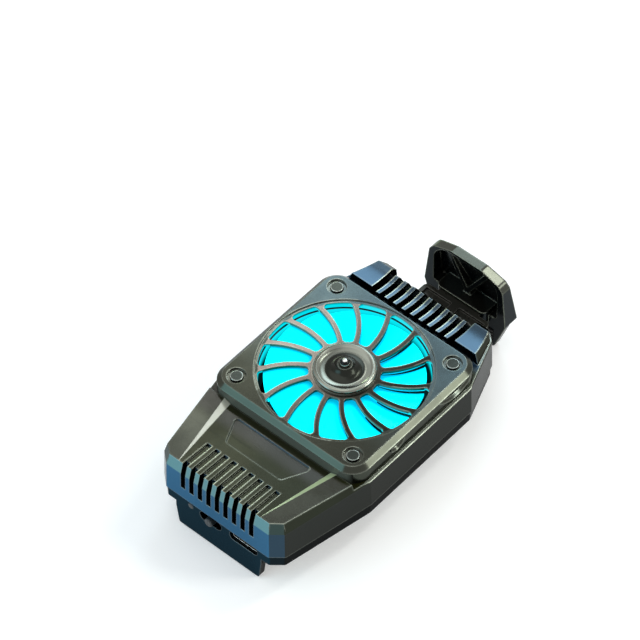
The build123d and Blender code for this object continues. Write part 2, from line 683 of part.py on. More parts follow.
# Fan cover: square cap with a bevelled rim, a shallow round recess and the swirl grille
with BuildPart() as fan_cover:
    with BuildSketch(Plane.XY.offset(ledge_height)) as cover_plan:
        RectangleRounded(cover_side, cover_side, cover_corner)
    extrude(amount=cover_height - ledge_height)
    chamfer(fan_cover.faces().sort_by(Axis.Z)[-1].edges(), length=cover_chamfer)
    with BuildSketch(Plane.XY.offset(ledge_height)) as cover_hollow:
        RectangleRounded(fan_well, fan_well, cover_corner - cover_wall)
    extrude(amount=cover_height - cover_top_thickness - ledge_height, mode=Mode.SUBTRACT)
    with BuildSketch(Plane.XY.offset(cover_height - cover_top_thickness)) as rotor_room:
        Circle(opening_outer + rotor_room_gap)
    extrude(amount=cover_top_thickness - grille_thickness, mode=Mode.SUBTRACT)
    with BuildSketch(Plane.XY.offset(cover_height)) as recess:
        Circle(grille_recess_radius)
        Circle(hub_radius + seat_gap, mode=Mode.SUBTRACT)
    extrude(amount=-grille_recess_depth, mode=Mode.SUBTRACT)
    # openings between the spokes
    with BuildSketch(Plane.XY.offset(cover_height)) as openings:
        Circle(opening_outer)
        Circle(opening_inner, mode=Mode.SUBTRACT)
        with BuildLine(mode=Mode.PRIVATE) as spoke_line:
            spoke_reach = opening_outer + cut_over
            RadiusArc((opening_inner - cut_over, 0),
                      (spoke_reach, spoke_bend - sqrt(spoke_bend ** 2 - (spoke_reach - opening_inner) ** 2)),
                      -spoke_bend)
        with BuildSketch(mode=Mode.PRIVATE) as spoke:
            trace(spoke_line.line, line_width=spoke_width)
        with PolarLocations(0, opening_count):
            add(spoke.sketch_local, mode=Mode.SUBTRACT)
        fillet(openings.vertices(), radius=opening_rounding)
    extrude(amount=-grille_thickness, mode=Mode.SUBTRACT)
    # dips in the long skirts, with sloping sills
    for side in (1, -1):
        skirt_plane = Plane(origin=(0, side * cover_side / 2, 0), x_dir=(-side, 0, 0), z_dir=(0, side, 0))
        for place, width, depth in (long_dip, short_dip):
            dip_radius = (width ** 2 / 4 + depth ** 2) / (2 * depth)
            dip_top = cover_height - cover_chamfer - skirt_dip_land
            with BuildSketch(skirt_plane) as dip:
                with Locations((-side * place, dip_top - depth + dip_radius)):
                    Circle(dip_radius)
                with Locations((-side * place, dip_top)):
                    Rectangle(2 * width, 2 * dip_radius, align=(Align.CENTER, Align.MIN),
                              mode=Mode.SUBTRACT)
            extrude(amount=-skirt_dip_depth, taper=skirt_dip_bevel, mode=Mode.SUBTRACT)
    # screw seats in the corners
    with BuildSketch(Plane.XY.offset(cover_height)) as screw_rings:
        with fan_screw_grid:
            Circle(fan_screw_ring)
    extrude(amount=-ring_groove_depth, mode=Mode.SUBTRACT)
    with BuildSketch(Plane.XY.offset(cover_height)) as screw_seats:
        with fan_screw_grid:
            Circle(fan_screw_head + seat_gap / 2)
    extrude(amount=-fan_screw_head_depth - seat_gap / 2, mode=Mode.SUBTRACT)
    with BuildSketch(Plane.XY.offset(cover_height)) as screw_ways:
        with fan_screw_grid:
            Circle(fan_screw_shank + seat_gap / 2)
    extrude(amount=-cover_top_thickness, mode=Mode.SUBTRACT)
fan_cover.part.label = "fan_cover"
export_step(fan_cover.part, "parts/fan_cover.step")

# Cover screws with flat heads
with BuildPart() as cover_screws:
    with BuildSketch(Plane.XY.offset(cover_height - seat_gap / 2)) as cover_heads:
        with fan_screw_grid:
            Circle(fan_screw_head)
    extrude(amount=-fan_screw_head_depth)
    with BuildSketch(Plane.XY.offset(cover_height - fan_screw_head_depth - seat_gap / 2)) as cover_shanks:
        with fan_screw_grid:
            Circle(fan_screw_shank)
    extrude(amount=-fan_screw_length)
cover_screws.part.label = "cover_screws"
export_step(cover_screws.part, "parts/cover_screws.step")

# Hub cap: dished disc with a cone
with BuildPart() as hub_cap:
    with BuildSketch(Plane.XZ) as cap_profile:
        with BuildLine():
            rim_top = cover_height + hub_rim_height
            dish = cover_height + hub_dish_height
            Polyline((0, cover_height), (hub_radius, cover_height), (hub_radius, rim_top - hub_rim_shoulder))
            RadiusArc((hub_radius, rim_top - hub_rim_shoulder), (hub_radius - hub_rim_width, rim_top),
                      -hub_rim_width)
            ThreePointArc((hub_radius - hub_rim_width, rim_top),
                          ((hub_radius - hub_rim_width + cone_radius) / 2, dish + hub_dish_rise),
                          (cone_radius, dish))
            ThreePointArc((cone_radius, dish),
                          ((cone_radius + cone_top_radius) / 2 - cone_waist, dish + cone_waist_rise),
                          (cone_top_radius, dish + cone_height))
            pin_foot = dish + cone_height - pin_seat_depth
            Polyline((cone_top_radius, dish + cone_height), (pin_seat_radius, dish + cone_height),
                     (pin_seat_radius, pin_foot), (0, pin_foot), (0, cover_height))
        make_face()
    revolve(axis=Axis.Z)
hub_cap.part.label = "hub_cap"
export_step(hub_cap.part, "parts/hub_cap.step")

# Polished pin on the cone
with BuildPart() as hub_pin:
    with BuildSketch(Plane.XZ) as pin_profile:
        with BuildLine():
            pin_top = cover_height + pin_height
            Polyline((0, pin_top), (0, pin_foot), (pin_radius, pin_foot), (pin_radius, pin_top - pin_radius))
            RadiusArc((pin_radius, pin_top - pin_radius), (0, pin_top), -pin_radius)
        make_face()
    revolve(axis=Axis.Z)
hub_pin.part.label = "hub_pin"
export_step(hub_pin.part, "parts/hub_pin.step")

# Fan frame: square duct with struts, motor seat and lamp pockets
with BuildPart() as fan_frame:
    with BuildSketch(Plane.XY.offset(fan_foot)) as frame_plan:
        RectangleRounded(fan_side, fan_side, fan_corner)
        Circle(fan_bore, mode=Mode.SUBTRACT)
    extrude(amount=fan_top - fan_foot)
    with BuildSketch(Plane.XY.offset(fan_foot)) as struts:
        Circle(motor_seat_radius)
        with PolarLocations(0, strut_count, start_angle=corner_angle):
            Rectangle(fan_bore + strut_root, strut_width, align=(Align.MIN, Align.CENTER))
    extrude(amount=strut_height)
    # outlets to both ends, below the blades
    with BuildSketch(Plane.XY.offset(motor_seat_top)) as outlets:
        Rectangle(fan_side, fan_outlet_width)
        Circle(motor_seat_radius, mode=Mode.SUBTRACT)
    extrude(amount=exhaust_duct_height - motor_seat_top, mode=Mode.SUBTRACT)
    with BuildSketch(Plane.XY.offset(fan_lamp_height)) as lamp_pockets:
        with PolarLocations(fan_bore, lamp_count, start_angle=corner_angle):
            Rectangle(fan_lamp_size[0] + seat_gap, fan_lamp_size[1] + seat_gap,
                      align=(Align.MIN, Align.CENTER))
            Rectangle(cut_over, fan_lamp_size[1] + seat_gap, align=(Align.MAX, Align.CENTER))
    extrude(amount=fan_lamp_size[2], mode=Mode.SUBTRACT)
    with BuildSketch(Plane.XY.offset(fan_foot)) as frame_holes:
        with fan_screw_grid:
            Circle(fan_screw_shank + seat_gap / 2)
    extrude(amount=fan_top - fan_foot, mode=Mode.SUBTRACT)
fan_frame.part.label = "fan_frame"
export_step(fan_frame.part, "parts/fan_frame.step")

# Lamps that light the blades
with BuildPart() as fan_lamps:
    with BuildSketch(Plane.XY.offset(fan_lamp_height)) as lamp_plan:
        with PolarLocations(fan_bore, lamp_count, start_angle=corner_angle):
            Rectangle(fan_lamp_size[0], fan_lamp_size[1], align=(Align.MIN, Align.CENTER))
    extrude(amount=fan_lamp_size[2])
fan_lamps.part.label = "fan_lamps"
export_step(fan_lamps.part, "parts/fan_lamps.step")

# Motor board under the stator
bush_radius = shaft_radius + shaft_running_gap + bush_wall
with BuildPart() as motor_board:
    with BuildSketch(Plane.XY.offset(motor_seat_top)) as board_ring:
        Circle(motor_board_radius)
        Circle(bush_radius + seat_gap / 2, mode=Mode.SUBTRACT)
    extrude(amount=motor_board_thickness)
motor_board.part.label = "motor_board"
export_step(motor_board.part, "parts/motor_board.step")

# Shaft bush
with BuildPart() as shaft_bush:
    with BuildSketch(Plane.XY.offset(motor_seat_top)) as bush_ring:
        Circle(bush_radius)
        Circle(shaft_radius + shaft_running_gap, mode=Mode.SUBTRACT)
    extrude(amount=bush_height)
shaft_bush.part.label = "shaft_bush"
export_step(shaft_bush.part, "parts/shaft_bush.step")

# Stator: core with poles and their shoes
with BuildPart() as motor_stator:
    with BuildSketch(Plane.XY.offset(motor_board_top)) as poles:
        Circle(stator_core_radius)
        with PolarLocations(0, pole_count):
            Rectangle(stator_radius - pole_shoe_thickness / 2, pole_width, align=(Align.MIN, Align.CENTER))
        with BuildSketch(mode=Mode.PRIVATE) as shoe:
            Circle(stator_radius)
            Circle(stator_radius - pole_shoe_thickness, mode=Mode.SUBTRACT)
            Rectangle(stator_radius, pole_shoe_width, align=(Align.MIN, Align.CENTER), mode=Mode.INTERSECT)
        with PolarLocations(0, pole_count):
            add(shoe.sketch_local)
        Circle(bush_radius + seat_gap / 2, mode=Mode.SUBTRACT)
    extrude(amount=stator_height)
motor_stator.part.label = "motor_stator"
export_step(motor_stator.part, "parts/motor_stator.step")

# Rotor: cup with swept blades
rotor_radius = fan_bore - rotor_gap
cup_foot = rotor_top - hub_cup_top - magnet_height - cup_skirt
with BuildPart() as fan_rotor:
    for blade_index in range(blade_count):
        root_angle = (blade_index + 0.5) * 360 / blade_count
        for reach, rise in ((hub_cup_radius - blade_root_depth, blade_rise_root),
                            ((hub_cup_radius + rotor_radius) / 2, (blade_rise_root + blade_rise_tip) / 2),
                            (rotor_radius + blade_root_depth, blade_rise_tip)):
            turn = radians(root_angle + spoke_turn(reach))
            half_width = reach * radians(blade_arc) / 2
            with BuildSketch(Plane(origin=(reach * cos(turn), reach * sin(turn), rotor_top),
                                   x_dir=(-sin(turn), cos(turn), 0), z_dir=(cos(turn), sin(turn), 0))):
                Polygon((-half_width, 0), (-half_width, -blade_thickness),
                        (half_width, -rise - blade_thickness), (half_width, -rise), align=None)
        loft(ruled=False)
    with BuildSketch(Plane.XY.offset(cup_foot)) as blade_trim:
        Circle(rotor_radius)
    extrude(amount=rotor_top - cup_foot + cut_over, mode=Mode.INTERSECT)
    with BuildSketch(Plane.XY.offset(cup_foot)) as cup:
        Circle(hub_cup_radius)
    extrude(amount=rotor_top - cup_foot)
    with BuildSketch(Plane.XY.offset(cup_foot)) as cup_hollow:
        Circle(hub_cup_radius - hub_cup_wall)
        Circle(shaft_radius + rotor_boss_wall, mode=Mode.SUBTRACT)
    extrude(amount=rotor_top - hub_cup_top - cup_foot, mode=Mode.SUBTRACT)
    shaft_top = rotor_top - shaft_cover
    boss_foot = motor_seat_top + bush_height + rotor_boss_gap
    with BuildSketch(Plane.XY.offset(cup_foot)) as boss_trim:
        Circle(shaft_radius + rotor_boss_wall + seat_gap)
    extrude(amount=boss_foot - cup_foot, mode=Mode.SUBTRACT)
    with BuildSketch(Plane.XY.offset(cup_foot)) as shaft_hole:
        Circle(shaft_radius)
    extrude(amount=shaft_top - cup_foot, mode=Mode.SUBTRACT)
fan_rotor.part.label = "fan_rotor"
export_step(fan_rotor.part, "parts/fan_rotor.step")

# Rotor shaft
with BuildPart() as rotor_shaft:
    with BuildSketch(Plane.XY.offset(motor_seat_top + shaft_foot_gap)) as shaft_plan:
        Circle(shaft_radius)
    extrude(amount=shaft_top - motor_seat_top - shaft_foot_gap)
rotor_shaft.part.label = "rotor_shaft"
export_step(rotor_shaft.part, "parts/rotor_shaft.step")

# Magnet ring in the rotor's cup
with BuildPart() as magnet_ring:
    with BuildSketch(Plane.XY.offset(rotor_top - hub_cup_top - magnet_height)) as magnet_plan:
        Circle(hub_cup_radius - hub_cup_wall)
        Circle(hub_cup_radius - hub_cup_wall - magnet_thickness, mode=Mode.SUBTRACT)
    extrude(amount=magnet_height)
magnet_ring.part.label = "magnet_ring"
export_step(magnet_ring.part, "parts/magnet_ring.step")

# Cover over the clamp's channel, under the fan
with BuildPart() as slide_cover:
    with BuildSketch(Plane.XY.offset(parting_height)) as slide_plan:
        with Locations((-trough_reach, 0)):
            Rectangle(trough_reach + far_wall_inner - seat_gap, 2 * (trough_inner + trough_wall),
                      align=(Align.MIN, Align.CENTER))
        with Locations((cover_slot_middle, 0)):
            with GridLocations(cover_slot_pitch, cover_slot_spread, cover_slot_rows, 2):
                SlotOverall(cover_slot_size[0], cover_slot_size[1], rotation=quarter_turn, mode=Mode.SUBTRACT)
    extrude(amount=slide_cover_thickness)
slide_cover.part.label = "slide_cover"
export_step(slide_cover.part, "parts/slide_cover.step")

# Clamp springs, one each side of the arm
spring_foot = arm_tail_reach + arm_ear_length + slide_gap
with BuildPart() as clamp_springs:
    with BuildSketch(end_plane(spring_foot)) as spring_rings:
        with Locations(*[(side * spring_place, arm_foot + arm_thickness / 2) for side in (1, -1)]):
            Circle(spring_radius)
            Circle(spring_radius - spring_wire, mode=Mode.SUBTRACT)
    extrude(amount=far_wall_inner - spring_foot)
clamp_springs.part.label = "clamp_springs"
export_step(clamp_springs.part, "parts/clamp_springs.step")

# Clamp arm: flat bar with ears for the springs and a slot for the stop
with BuildPart() as clamp_arm:
    with BuildSketch(Plane.XY.offset(arm_foot)) as arm_plan:
        with Locations((arm_tail_reach, 0)):
            Rectangle(arm_shoulder_reach - arm_tail_reach, arm_width, align=(Align.MIN, Align.CENTER))
            Rectangle(arm_ear_length, arm_ear_width, align=(Align.MIN, Align.CENTER))
            Rectangle(arm_tongue_reach - arm_tail_reach, arm_tongue_width,
                      align=(Align.MIN, Align.CENTER))
        outer_corners = [v for v in arm_plan.vertices() if abs(v.Y) > arm_width / 2 - near_edge
                         and (v.X < arm_tail_reach + near_edge or v.X > arm_shoulder_reach - near_edge)]
        fillet(outer_corners, radius=arm_corner)
        slot_start = stop_reach - travel_out - stop_radius - stop_slot_end_gap
        slot_end = stop_reach + travel_in + stop_radius + stop_slot_end_gap
        with Locations(((slot_start + slot_end) / 2, 0)):
            RectangleRounded(slot_end - slot_start, 2 * (stop_radius + stop_slot_side_gap),
                             stop_radius, mode=Mode.SUBTRACT)
        with Locations(*jaw_pin_places):
            Circle(jaw_pin_radius + pin_gap, mode=Mode.SUBTRACT)
    extrude(amount=arm_thickness)
    # two shallow pockets with a rail between them
    with BuildSketch(Plane.XY.offset(arm_foot + arm_thickness)) as arm_pockets:
        with Locations((slot_end + arm_pocket_border, 0)):
            Rectangle(arm_shoulder_reach - slot_end - 2 * arm_pocket_border,
                      arm_width - 2 * arm_pocket_border, align=(Align.MIN, Align.CENTER))
            Rectangle(arm_shoulder_reach, arm_rail_width, align=(Align.MIN, Align.CENTER),
                      mode=Mode.SUBTRACT)
    extrude(amount=-arm_pocket_depth, mode=Mode.SUBTRACT)
clamp_arm.part.label = "clamp_arm"
export_step(clamp_arm.part, "parts/clamp_arm.step")

# Outline of the clamp jaw's paddle
jaw_outline = [(y, z) for z, y in both_sides([
    (jaw_foot_height, jaw_foot_width / 2), (jaw_widest_height, jaw_widest / 2),
    (jaw_shoulder_height, jaw_shoulder_width / 2), (jaw_crown_height, jaw_crown_width / 2),
    (jaw_top_height, jaw_top_width / 2)])][::-1]
jaw_slope = jaw_lean / (jaw_top_height - jaw_widest_height)
jaw_pocket_foot = jaw_widest_height + jaw_back
jaw_pocket_height = jaw_top_height - jaw_top_rim - jaw_pocket_foot

# Room of the jaw's pocket, up to its leaning back wall
with BuildPart() as jaw_pocket:
    with BuildSketch(end_plane(jaw_face_reach - cut_over)) as pocket_outline:
        with Locations((0, jaw_pocket_foot)):
            Rectangle(jaw_widest - 2 * jaw_rim, jaw_pocket_height, align=(Align.CENTER, Align.MIN))
        fillet(pocket_outline.vertices().group_by(Axis.Y)[-1], radius=jaw_pocket_rounding)
        fillet(pocket_outline.vertices().group_by(Axis.Y)[0], radius=jaw_pocket_foot_rounding)
    extrude(amount=jaw_thickness + cut_over)
    with BuildSketch(Plane.XZ) as pocket_side:
        pocket_floor = jaw_back_reach - jaw_back
        Polygon((jaw_face_reach - cut_over, jaw_foot_height), (pocket_floor, jaw_foot_height),
                (pocket_floor, jaw_widest_height), (pocket_floor - jaw_lean, jaw_top_height),
                (jaw_face_reach - cut_over, jaw_top_height), align=None)
    extrude(amount=jaw_widest, both=True, mode=Mode.INTERSECT)

# Crossed braces that stand in the pocket
with BuildPart() as jaw_braces:
    with BuildSketch(end_plane(jaw_face_reach + brace_setback)) as cross:
        for side in (1, -1):
            with Locations(Location((0, brace_centre_height), side * brace_angle)):
                Rectangle(brace_width, 2 * jaw_top_height)
        with BuildSketch(mode=Mode.PRIVATE) as brace_limit:
            with Locations((0, jaw_pocket_foot)):
                Rectangle(jaw_widest - 2 * jaw_rim + 2 * brace_root, jaw_pocket_height + brace_root,
                          align=(Align.CENTER, Align.MIN))
            fillet(brace_limit.vertices().group_by(Axis.Y)[-1], radius=jaw_pocket_rounding + brace_root)
        add(brace_limit.sketch_local, mode=Mode.INTERSECT)
    extrude(amount=jaw_thickness)
    with BuildSketch(Plane.XZ) as brace_side:
        Polygon((jaw_face_reach, jaw_widest_height), (pocket_floor + brace_root, jaw_widest_height),
                (pocket_floor + brace_root - jaw_lean, jaw_top_height), (jaw_face_reach, jaw_top_height),
                align=None)
    extrude(amount=jaw_widest, both=True, mode=Mode.INTERSECT)

# Clamp jaw: tall paddle with the braced pocket, and the block that holds the arm
with BuildPart() as clamp_jaw:
    with BuildSketch(end_plane(jaw_face_reach)) as paddle:
        Polygon(*jaw_outline, align=None)
        fillet(paddle.vertices(), radius=jaw_edge_rounding)
    extrude(amount=jaw_thickness)
    add(jaw_pocket.part, mode=Mode.SUBTRACT)
    add(jaw_braces.part)
    # block in front of the pocket
    with BuildSketch(Plane.XY.offset(block_bottom)) as block:
        with Locations((block_front_reach, 0)):
            Rectangle(jaw_back_reach - jaw_back - block_front_reach, block_width,
                      align=(Align.MIN, Align.CENTER))
        front_corners = block.vertices().group_by(Axis.X)[0]
        fillet(front_corners, radius=block_rounding)
    extrude(amount=block_top - block_bottom)
    # the outer face leans in above the widest part and steps in below it
    with BuildSketch(Plane.XZ) as outer_side:
        Polygon((jaw_back_reach, jaw_widest_height), (jaw_back_reach + cut_over, jaw_widest_height),
                (jaw_back_reach + cut_over, jaw_top_height + cut_over),
                (jaw_back_reach - jaw_lean - jaw_slope * cut_over, jaw_top_height + cut_over), align=None)
        foot_back = jaw_face_reach + jaw_foot_thickness
        Polygon((foot_back, jaw_foot_height), (jaw_back_reach, jaw_foot_height),
                (jaw_back_reach, jaw_widest_height), (foot_back, jaw_widest_height), align=None)
    extrude(amount=jaw_widest, both=True, mode=Mode.SUBTRACT)
    outer_edges = clamp_jaw.faces().sort_by(Axis.X)[-1].edges()
    chamfer([e for e in outer_edges if e.center().Z > jaw_widest_height + near_edge], length=jaw_back_bevel)
    # comb along the block's front
    with BuildSketch(Plane.XY.offset(block_bottom)) as comb:
        with Locations((block_front_reach, 0)):
            with GridLocations(1, comb_pitch, 1, comb_count):
                Rectangle(2 * comb_depth, comb_width)
    extrude(amount=block_top - comb_land - block_bottom, mode=Mode.SUBTRACT)
    # seat for the arm's tongue
    with BuildSketch(Plane.XY.offset(arm_foot - seat_gap / 2)) as tongue_seat:
        with Locations((block_front_reach - cut_over, 0)):
            Rectangle(arm_tongue_reach - block_front_reach + cut_over + seat_gap,
                      arm_tongue_width + seat_gap, align=(Align.MIN, Align.CENTER))
    extrude(amount=arm_thickness + seat_gap, mode=Mode.SUBTRACT)
    # pin holes from below
    with BuildSketch(Plane.XY.offset(block_bottom)) as jaw_pin_ways:
        with Locations(*jaw_pin_places):
            Circle(jaw_pin_radius + pin_gap)
    extrude(amount=jaw_pin_top + seat_gap - block_bottom, mode=Mode.SUBTRACT)
    # recess for the grip
    with BuildSketch(end_plane(jaw_face_reach)) as grip_seat:
        with Locations((0, grip_foot)):
            Rectangle(grip_width, grip_top - grip_foot, align=(Align.CENTER, Align.MIN))
    extrude(amount=grip_seat_depth, mode=Mode.SUBTRACT)
clamp_jaw.part.label = "clamp_jaw"
export_step(clamp_jaw.part, "parts/clamp_jaw.step")

# Pins that hold the arm in the jaw's block
with BuildPart() as jaw_pins:
    with BuildSketch(Plane.XY.offset(block_bottom + jaw_pin_setback)) as pin_plan:
        with Locations(*jaw_pin_places):
            Circle(jaw_pin_radius)
    extrude(amount=jaw_pin_top - block_bottom - jaw_pin_setback)
jaw_pins.part.label = "jaw_pins"
export_step(jaw_pins.part, "parts/jaw_pins.step")


def grip_on(face_reach, facing):
    # ribbed grip whose back sits in a jaw at face_reach and whose front faces along X
    back = face_reach - facing * grip_seat_depth
    with BuildPart(mode=Mode.PRIVATE) as grip:
        with BuildSketch(end_plane(back)):
            with Locations((0, grip_foot)):
                Rectangle(grip_width, grip_top - grip_foot, align=(Align.CENTER, Align.MIN))
        extrude(amount=facing * grip_thickness)
        with BuildSketch(end_plane(back + facing * grip_thickness)):
            with Locations((0, (grip_top + grip_foot) / 2)):
                with GridLocations(1, grip_groove_pitch, 1, grip_groove_count):
                    Rectangle(grip_width, grip_groove_width)
        extrude(amount=-facing * grip_groove_depth, mode=Mode.SUBTRACT)
    return grip.part


# Grips on the sliding and the fixed jaw
with BuildPart() as jaw_pad:
    add(grip_on(jaw_face_reach, -1))
jaw_pad.part.label = "jaw_pad"
export_step(jaw_pad.part, "parts/jaw_pad.step")

with BuildPart() as fixed_jaw_pad:
    add(grip_on(-skirt_face_reach, 1))
fixed_jaw_pad.part.label = "fixed_jaw_pad"
export_step(fixed_jaw_pad.part, "parts/fixed_jaw_pad.step")

# Heat sink: contact plate with fins that stand through the shell's floor
with BuildPart() as heat_sink:
    with BuildSketch(Plane.XY) as plate_plan:
        RectangleRounded(sink_side, sink_side, sink_plate_rounding)
    extrude(amount=base_lift)
    with BuildSketch(Plane.XY.offset(base_lift)) as fins:
        fin_pitch = (sink_fin_width - sink_fin_thickness) / (sink_fin_count - 1)
        with Locations((-(sink_fin_reach + sink_fin_end) / 2, 0)):
            with GridLocations(1, fin_pitch, 1, sink_fin_count):
                Rectangle(sink_fin_reach - sink_fin_end, sink_fin_thickness)
    extrude(amount=sink_fin_height - base_lift)
heat_sink.part.label = "heat_sink"
export_step(heat_sink.part, "parts/heat_sink.step")

# Soft pad around the heat sink
with BuildPart() as contact_pad:
    with BuildSketch(Plane.XY) as pad_plan:
        Polygon(*housing_plan, align=None)
        offset(amount=-pad_setback - lower_setback, kind=Kind.INTERSECTION)
        fillet(pad_plan.vertices(), radius=plan_rounding)
        with Locations((-skirt_face_reach + pad_gap, 0)):
            Rectangle(end_wall_reach / 2, skirt_foot_width, align=(Align.MIN, Align.CENTER))
        RectangleRounded(sink_side + 2 * pad_gap, sink_side + 2 * pad_gap, sink_plate_rounding + pad_gap,
                         mode=Mode.SUBTRACT)
        with Locations(*boss_places):
            Circle(housing_screw_head + 2 * pad_gap, mode=Mode.SUBTRACT)
    extrude(amount=base_lift)
contact_pad.part.label = "contact_pad"
export_step(contact_pad.part, "parts/contact_pad.step")

# Circuit board
board_near_reach = skirt_face_reach - board_edge_gap
with BuildPart() as circuit_board:
    with BuildSketch(Plane.XY.offset(board_foot)) as board_plan:
        with Locations((-board_near_reach, 0)):
            Rectangle(board_length, board_width, align=(Align.MIN, Align.CENTER))
        fillet(board_plan.vertices(), radius=plan_rounding)
    extrude(amount=board_thickness)
circuit_board.part.label = "circuit_board"
export_step(circuit_board.part, "parts/circuit_board.step")

# Battery cell on the board
with BuildPart() as battery_cell:
    with BuildSketch(Plane.XY.offset(board_foot + board_thickness)) as cell_plan:
        with Locations((-board_near_reach + board_length / 2, 0)):
            RectangleRounded(cell_length, cell_width, cell_rounding)
    extrude(amount=cell_thickness)
battery_cell.part.label = "battery_cell"
export_step(battery_cell.part, "parts/battery_cell.step")

# Charging socket under the board
socket_mouth = -end_wall_reach + lower_setback + socket_recess
socket_middle = socket_foot_height + socket_size[2] / 2
with BuildPart() as usb_socket:
    with BuildSketch(end_plane(socket_mouth)) as socket_outline:
        with Locations((socket_place, socket_middle)):
            RectangleRounded(socket_size[1], socket_size[2], socket_rounding)
    extrude(amount=socket_size[0])
    with BuildSketch(end_plane(socket_mouth)) as socket_hollow:
        with Locations((socket_place, socket_middle)):
            RectangleRounded(socket_size[1] - 2 * socket_wall, socket_size[2] - 2 * socket_wall,
                             socket_rounding - socket_wall)
    extrude(amount=socket_size[0] - socket_back, mode=Mode.SUBTRACT)
usb_socket.part.label = "usb_socket"
export_step(usb_socket.part, "parts/usb_socket.step")

# Tongue in the charging socket
with BuildPart() as usb_tongue:
    with BuildSketch(end_plane(socket_mouth + socket_size[0] - socket_back)) as tongue_outline:
        with Locations((socket_place, socket_middle)):
            Rectangle(socket_tongue_size[1], socket_tongue_size[2])
    extrude(amount=-socket_tongue_size[0])
usb_tongue.part.label = "usb_tongue"
export_step(usb_tongue.part, "parts/usb_tongue.step")

# Switch body under the board, with the slot of its lever
switch_face = -skirt_face_reach + seat_gap
with BuildPart() as switch_body:
    with BuildSketch(end_plane(switch_face)) as switch_outline:
        with Locations((switch_place, board_foot)):
            Rectangle(switch_body_size[1], switch_body_size[2], align=(Align.CENTER, Align.MAX))
    extrude(amount=switch_body_size[0])
    with BuildSketch(end_plane(switch_face)) as lever_slot:
        with Locations((switch_place, switch_height)):
            Rectangle(knob_stem_width + 2 * switch_travel + 2 * knob_gap, knob_stem_height + 2 * knob_gap)
    extrude(amount=switch_slot_depth, mode=Mode.SUBTRACT)
switch_body.part.label = "switch_body"
export_step(switch_body.part, "parts/switch_body.step")

# Switch knob with its stem
with BuildPart() as switch_knob:
    knob_face = -end_wall_reach + lower_setback - knob_proud
    with BuildSketch(end_plane(knob_face)) as knob_outline:
        with Locations((switch_place, switch_height)):
            Circle(knob_radius)
    extrude(amount=switch_face - knob_gap - knob_face)
    fillet(switch_knob.edges().group_by(Axis.X)[0], radius=knob_edge_rounding)
    with BuildSketch(end_plane(switch_face - knob_gap)) as knob_stem:
        with Locations((switch_place, switch_height)):
            Rectangle(knob_stem_width, knob_stem_height)
    extrude(amount=switch_slot_depth)
switch_knob.part.label = "switch_knob"
export_step(switch_knob.part, "parts/switch_knob.step")

# Indicator lens and the lamp block behind it
with BuildPart() as indicator_lens:
    with BuildSketch(end_plane(-end_wall_reach + lower_setback)) as lens_outline:
        with Locations((lamp_place, lamp_height)):
            Circle(lamp_radius)
    extrude(amount=end_wall_reach - lower_setback - skirt_face_reach)
    with BuildSketch(end_plane(-skirt_face_reach)) as lens_collar:
        with Locations((lamp_place, lamp_height)):
            Circle(lamp_radius + lens_flange)
    extrude(amount=lens_collar_length)
indicator_lens.part.label = "indicator_lens"
export_step(indicator_lens.part, "parts/indicator_lens.step")

with BuildPart() as indicator_led:
    with BuildSketch(Plane.XY.offset(board_foot)) as led_plan:
        with Locations((-board_near_reach + seat_gap, lamp_place)):
            Rectangle(lamp_block_length, lamp_block_length, align=(Align.MIN, Align.CENTER))
    extrude(amount=lamp_height - lamp_radius - board_foot)
indicator_led.part.label = "indicator_led"
export_step(indicator_led.part, "parts/indicator_led.step")
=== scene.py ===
from math import cos, pi, radians, sin

import bmesh
import bpy
from mathutils import Matrix, Vector


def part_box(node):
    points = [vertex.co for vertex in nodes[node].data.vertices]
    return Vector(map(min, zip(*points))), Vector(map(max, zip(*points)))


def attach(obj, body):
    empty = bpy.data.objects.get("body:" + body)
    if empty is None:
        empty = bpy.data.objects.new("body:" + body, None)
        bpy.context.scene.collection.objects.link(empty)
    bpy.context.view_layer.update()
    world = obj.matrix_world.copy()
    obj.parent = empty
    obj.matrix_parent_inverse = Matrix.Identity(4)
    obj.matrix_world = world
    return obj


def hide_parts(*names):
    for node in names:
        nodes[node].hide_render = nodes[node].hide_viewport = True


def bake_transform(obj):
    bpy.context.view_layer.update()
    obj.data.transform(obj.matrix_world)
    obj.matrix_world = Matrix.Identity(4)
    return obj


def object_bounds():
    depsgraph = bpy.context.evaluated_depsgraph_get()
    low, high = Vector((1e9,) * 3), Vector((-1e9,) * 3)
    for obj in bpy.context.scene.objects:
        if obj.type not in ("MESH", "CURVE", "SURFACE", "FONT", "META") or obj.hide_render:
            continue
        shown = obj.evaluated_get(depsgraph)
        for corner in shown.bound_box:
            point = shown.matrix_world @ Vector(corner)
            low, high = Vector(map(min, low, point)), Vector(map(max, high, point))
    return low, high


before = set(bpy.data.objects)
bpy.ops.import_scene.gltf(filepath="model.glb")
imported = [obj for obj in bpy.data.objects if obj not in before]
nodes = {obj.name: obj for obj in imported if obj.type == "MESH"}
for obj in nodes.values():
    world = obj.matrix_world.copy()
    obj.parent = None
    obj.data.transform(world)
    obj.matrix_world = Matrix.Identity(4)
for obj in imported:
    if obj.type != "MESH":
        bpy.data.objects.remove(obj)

# a clip-on cooling fan for a phone, standing on its two jaws
cadLow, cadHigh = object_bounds()
print("solids loaded:", len(nodes))


# camera, at the photographed angle
cameraSettings = {
    "azimuth": -48.775,  # degrees, from -Y towards +X
    "elevation": 50.43,
    "distance": 0.856562,
    "focalPixels": 4105.566,
    "framePixels": 640,
    "sensor": 36.0,
    "aside": 0.005178,  # how far the aimed point lies right of the frame's middle
    "above": -0.010268,  # and above it
    "roll": -0.301,
    "aim": (0.0, 0.0, 0.0165),  # middle of the fan cover's top
    "clip": (0.01, 20.0),
}


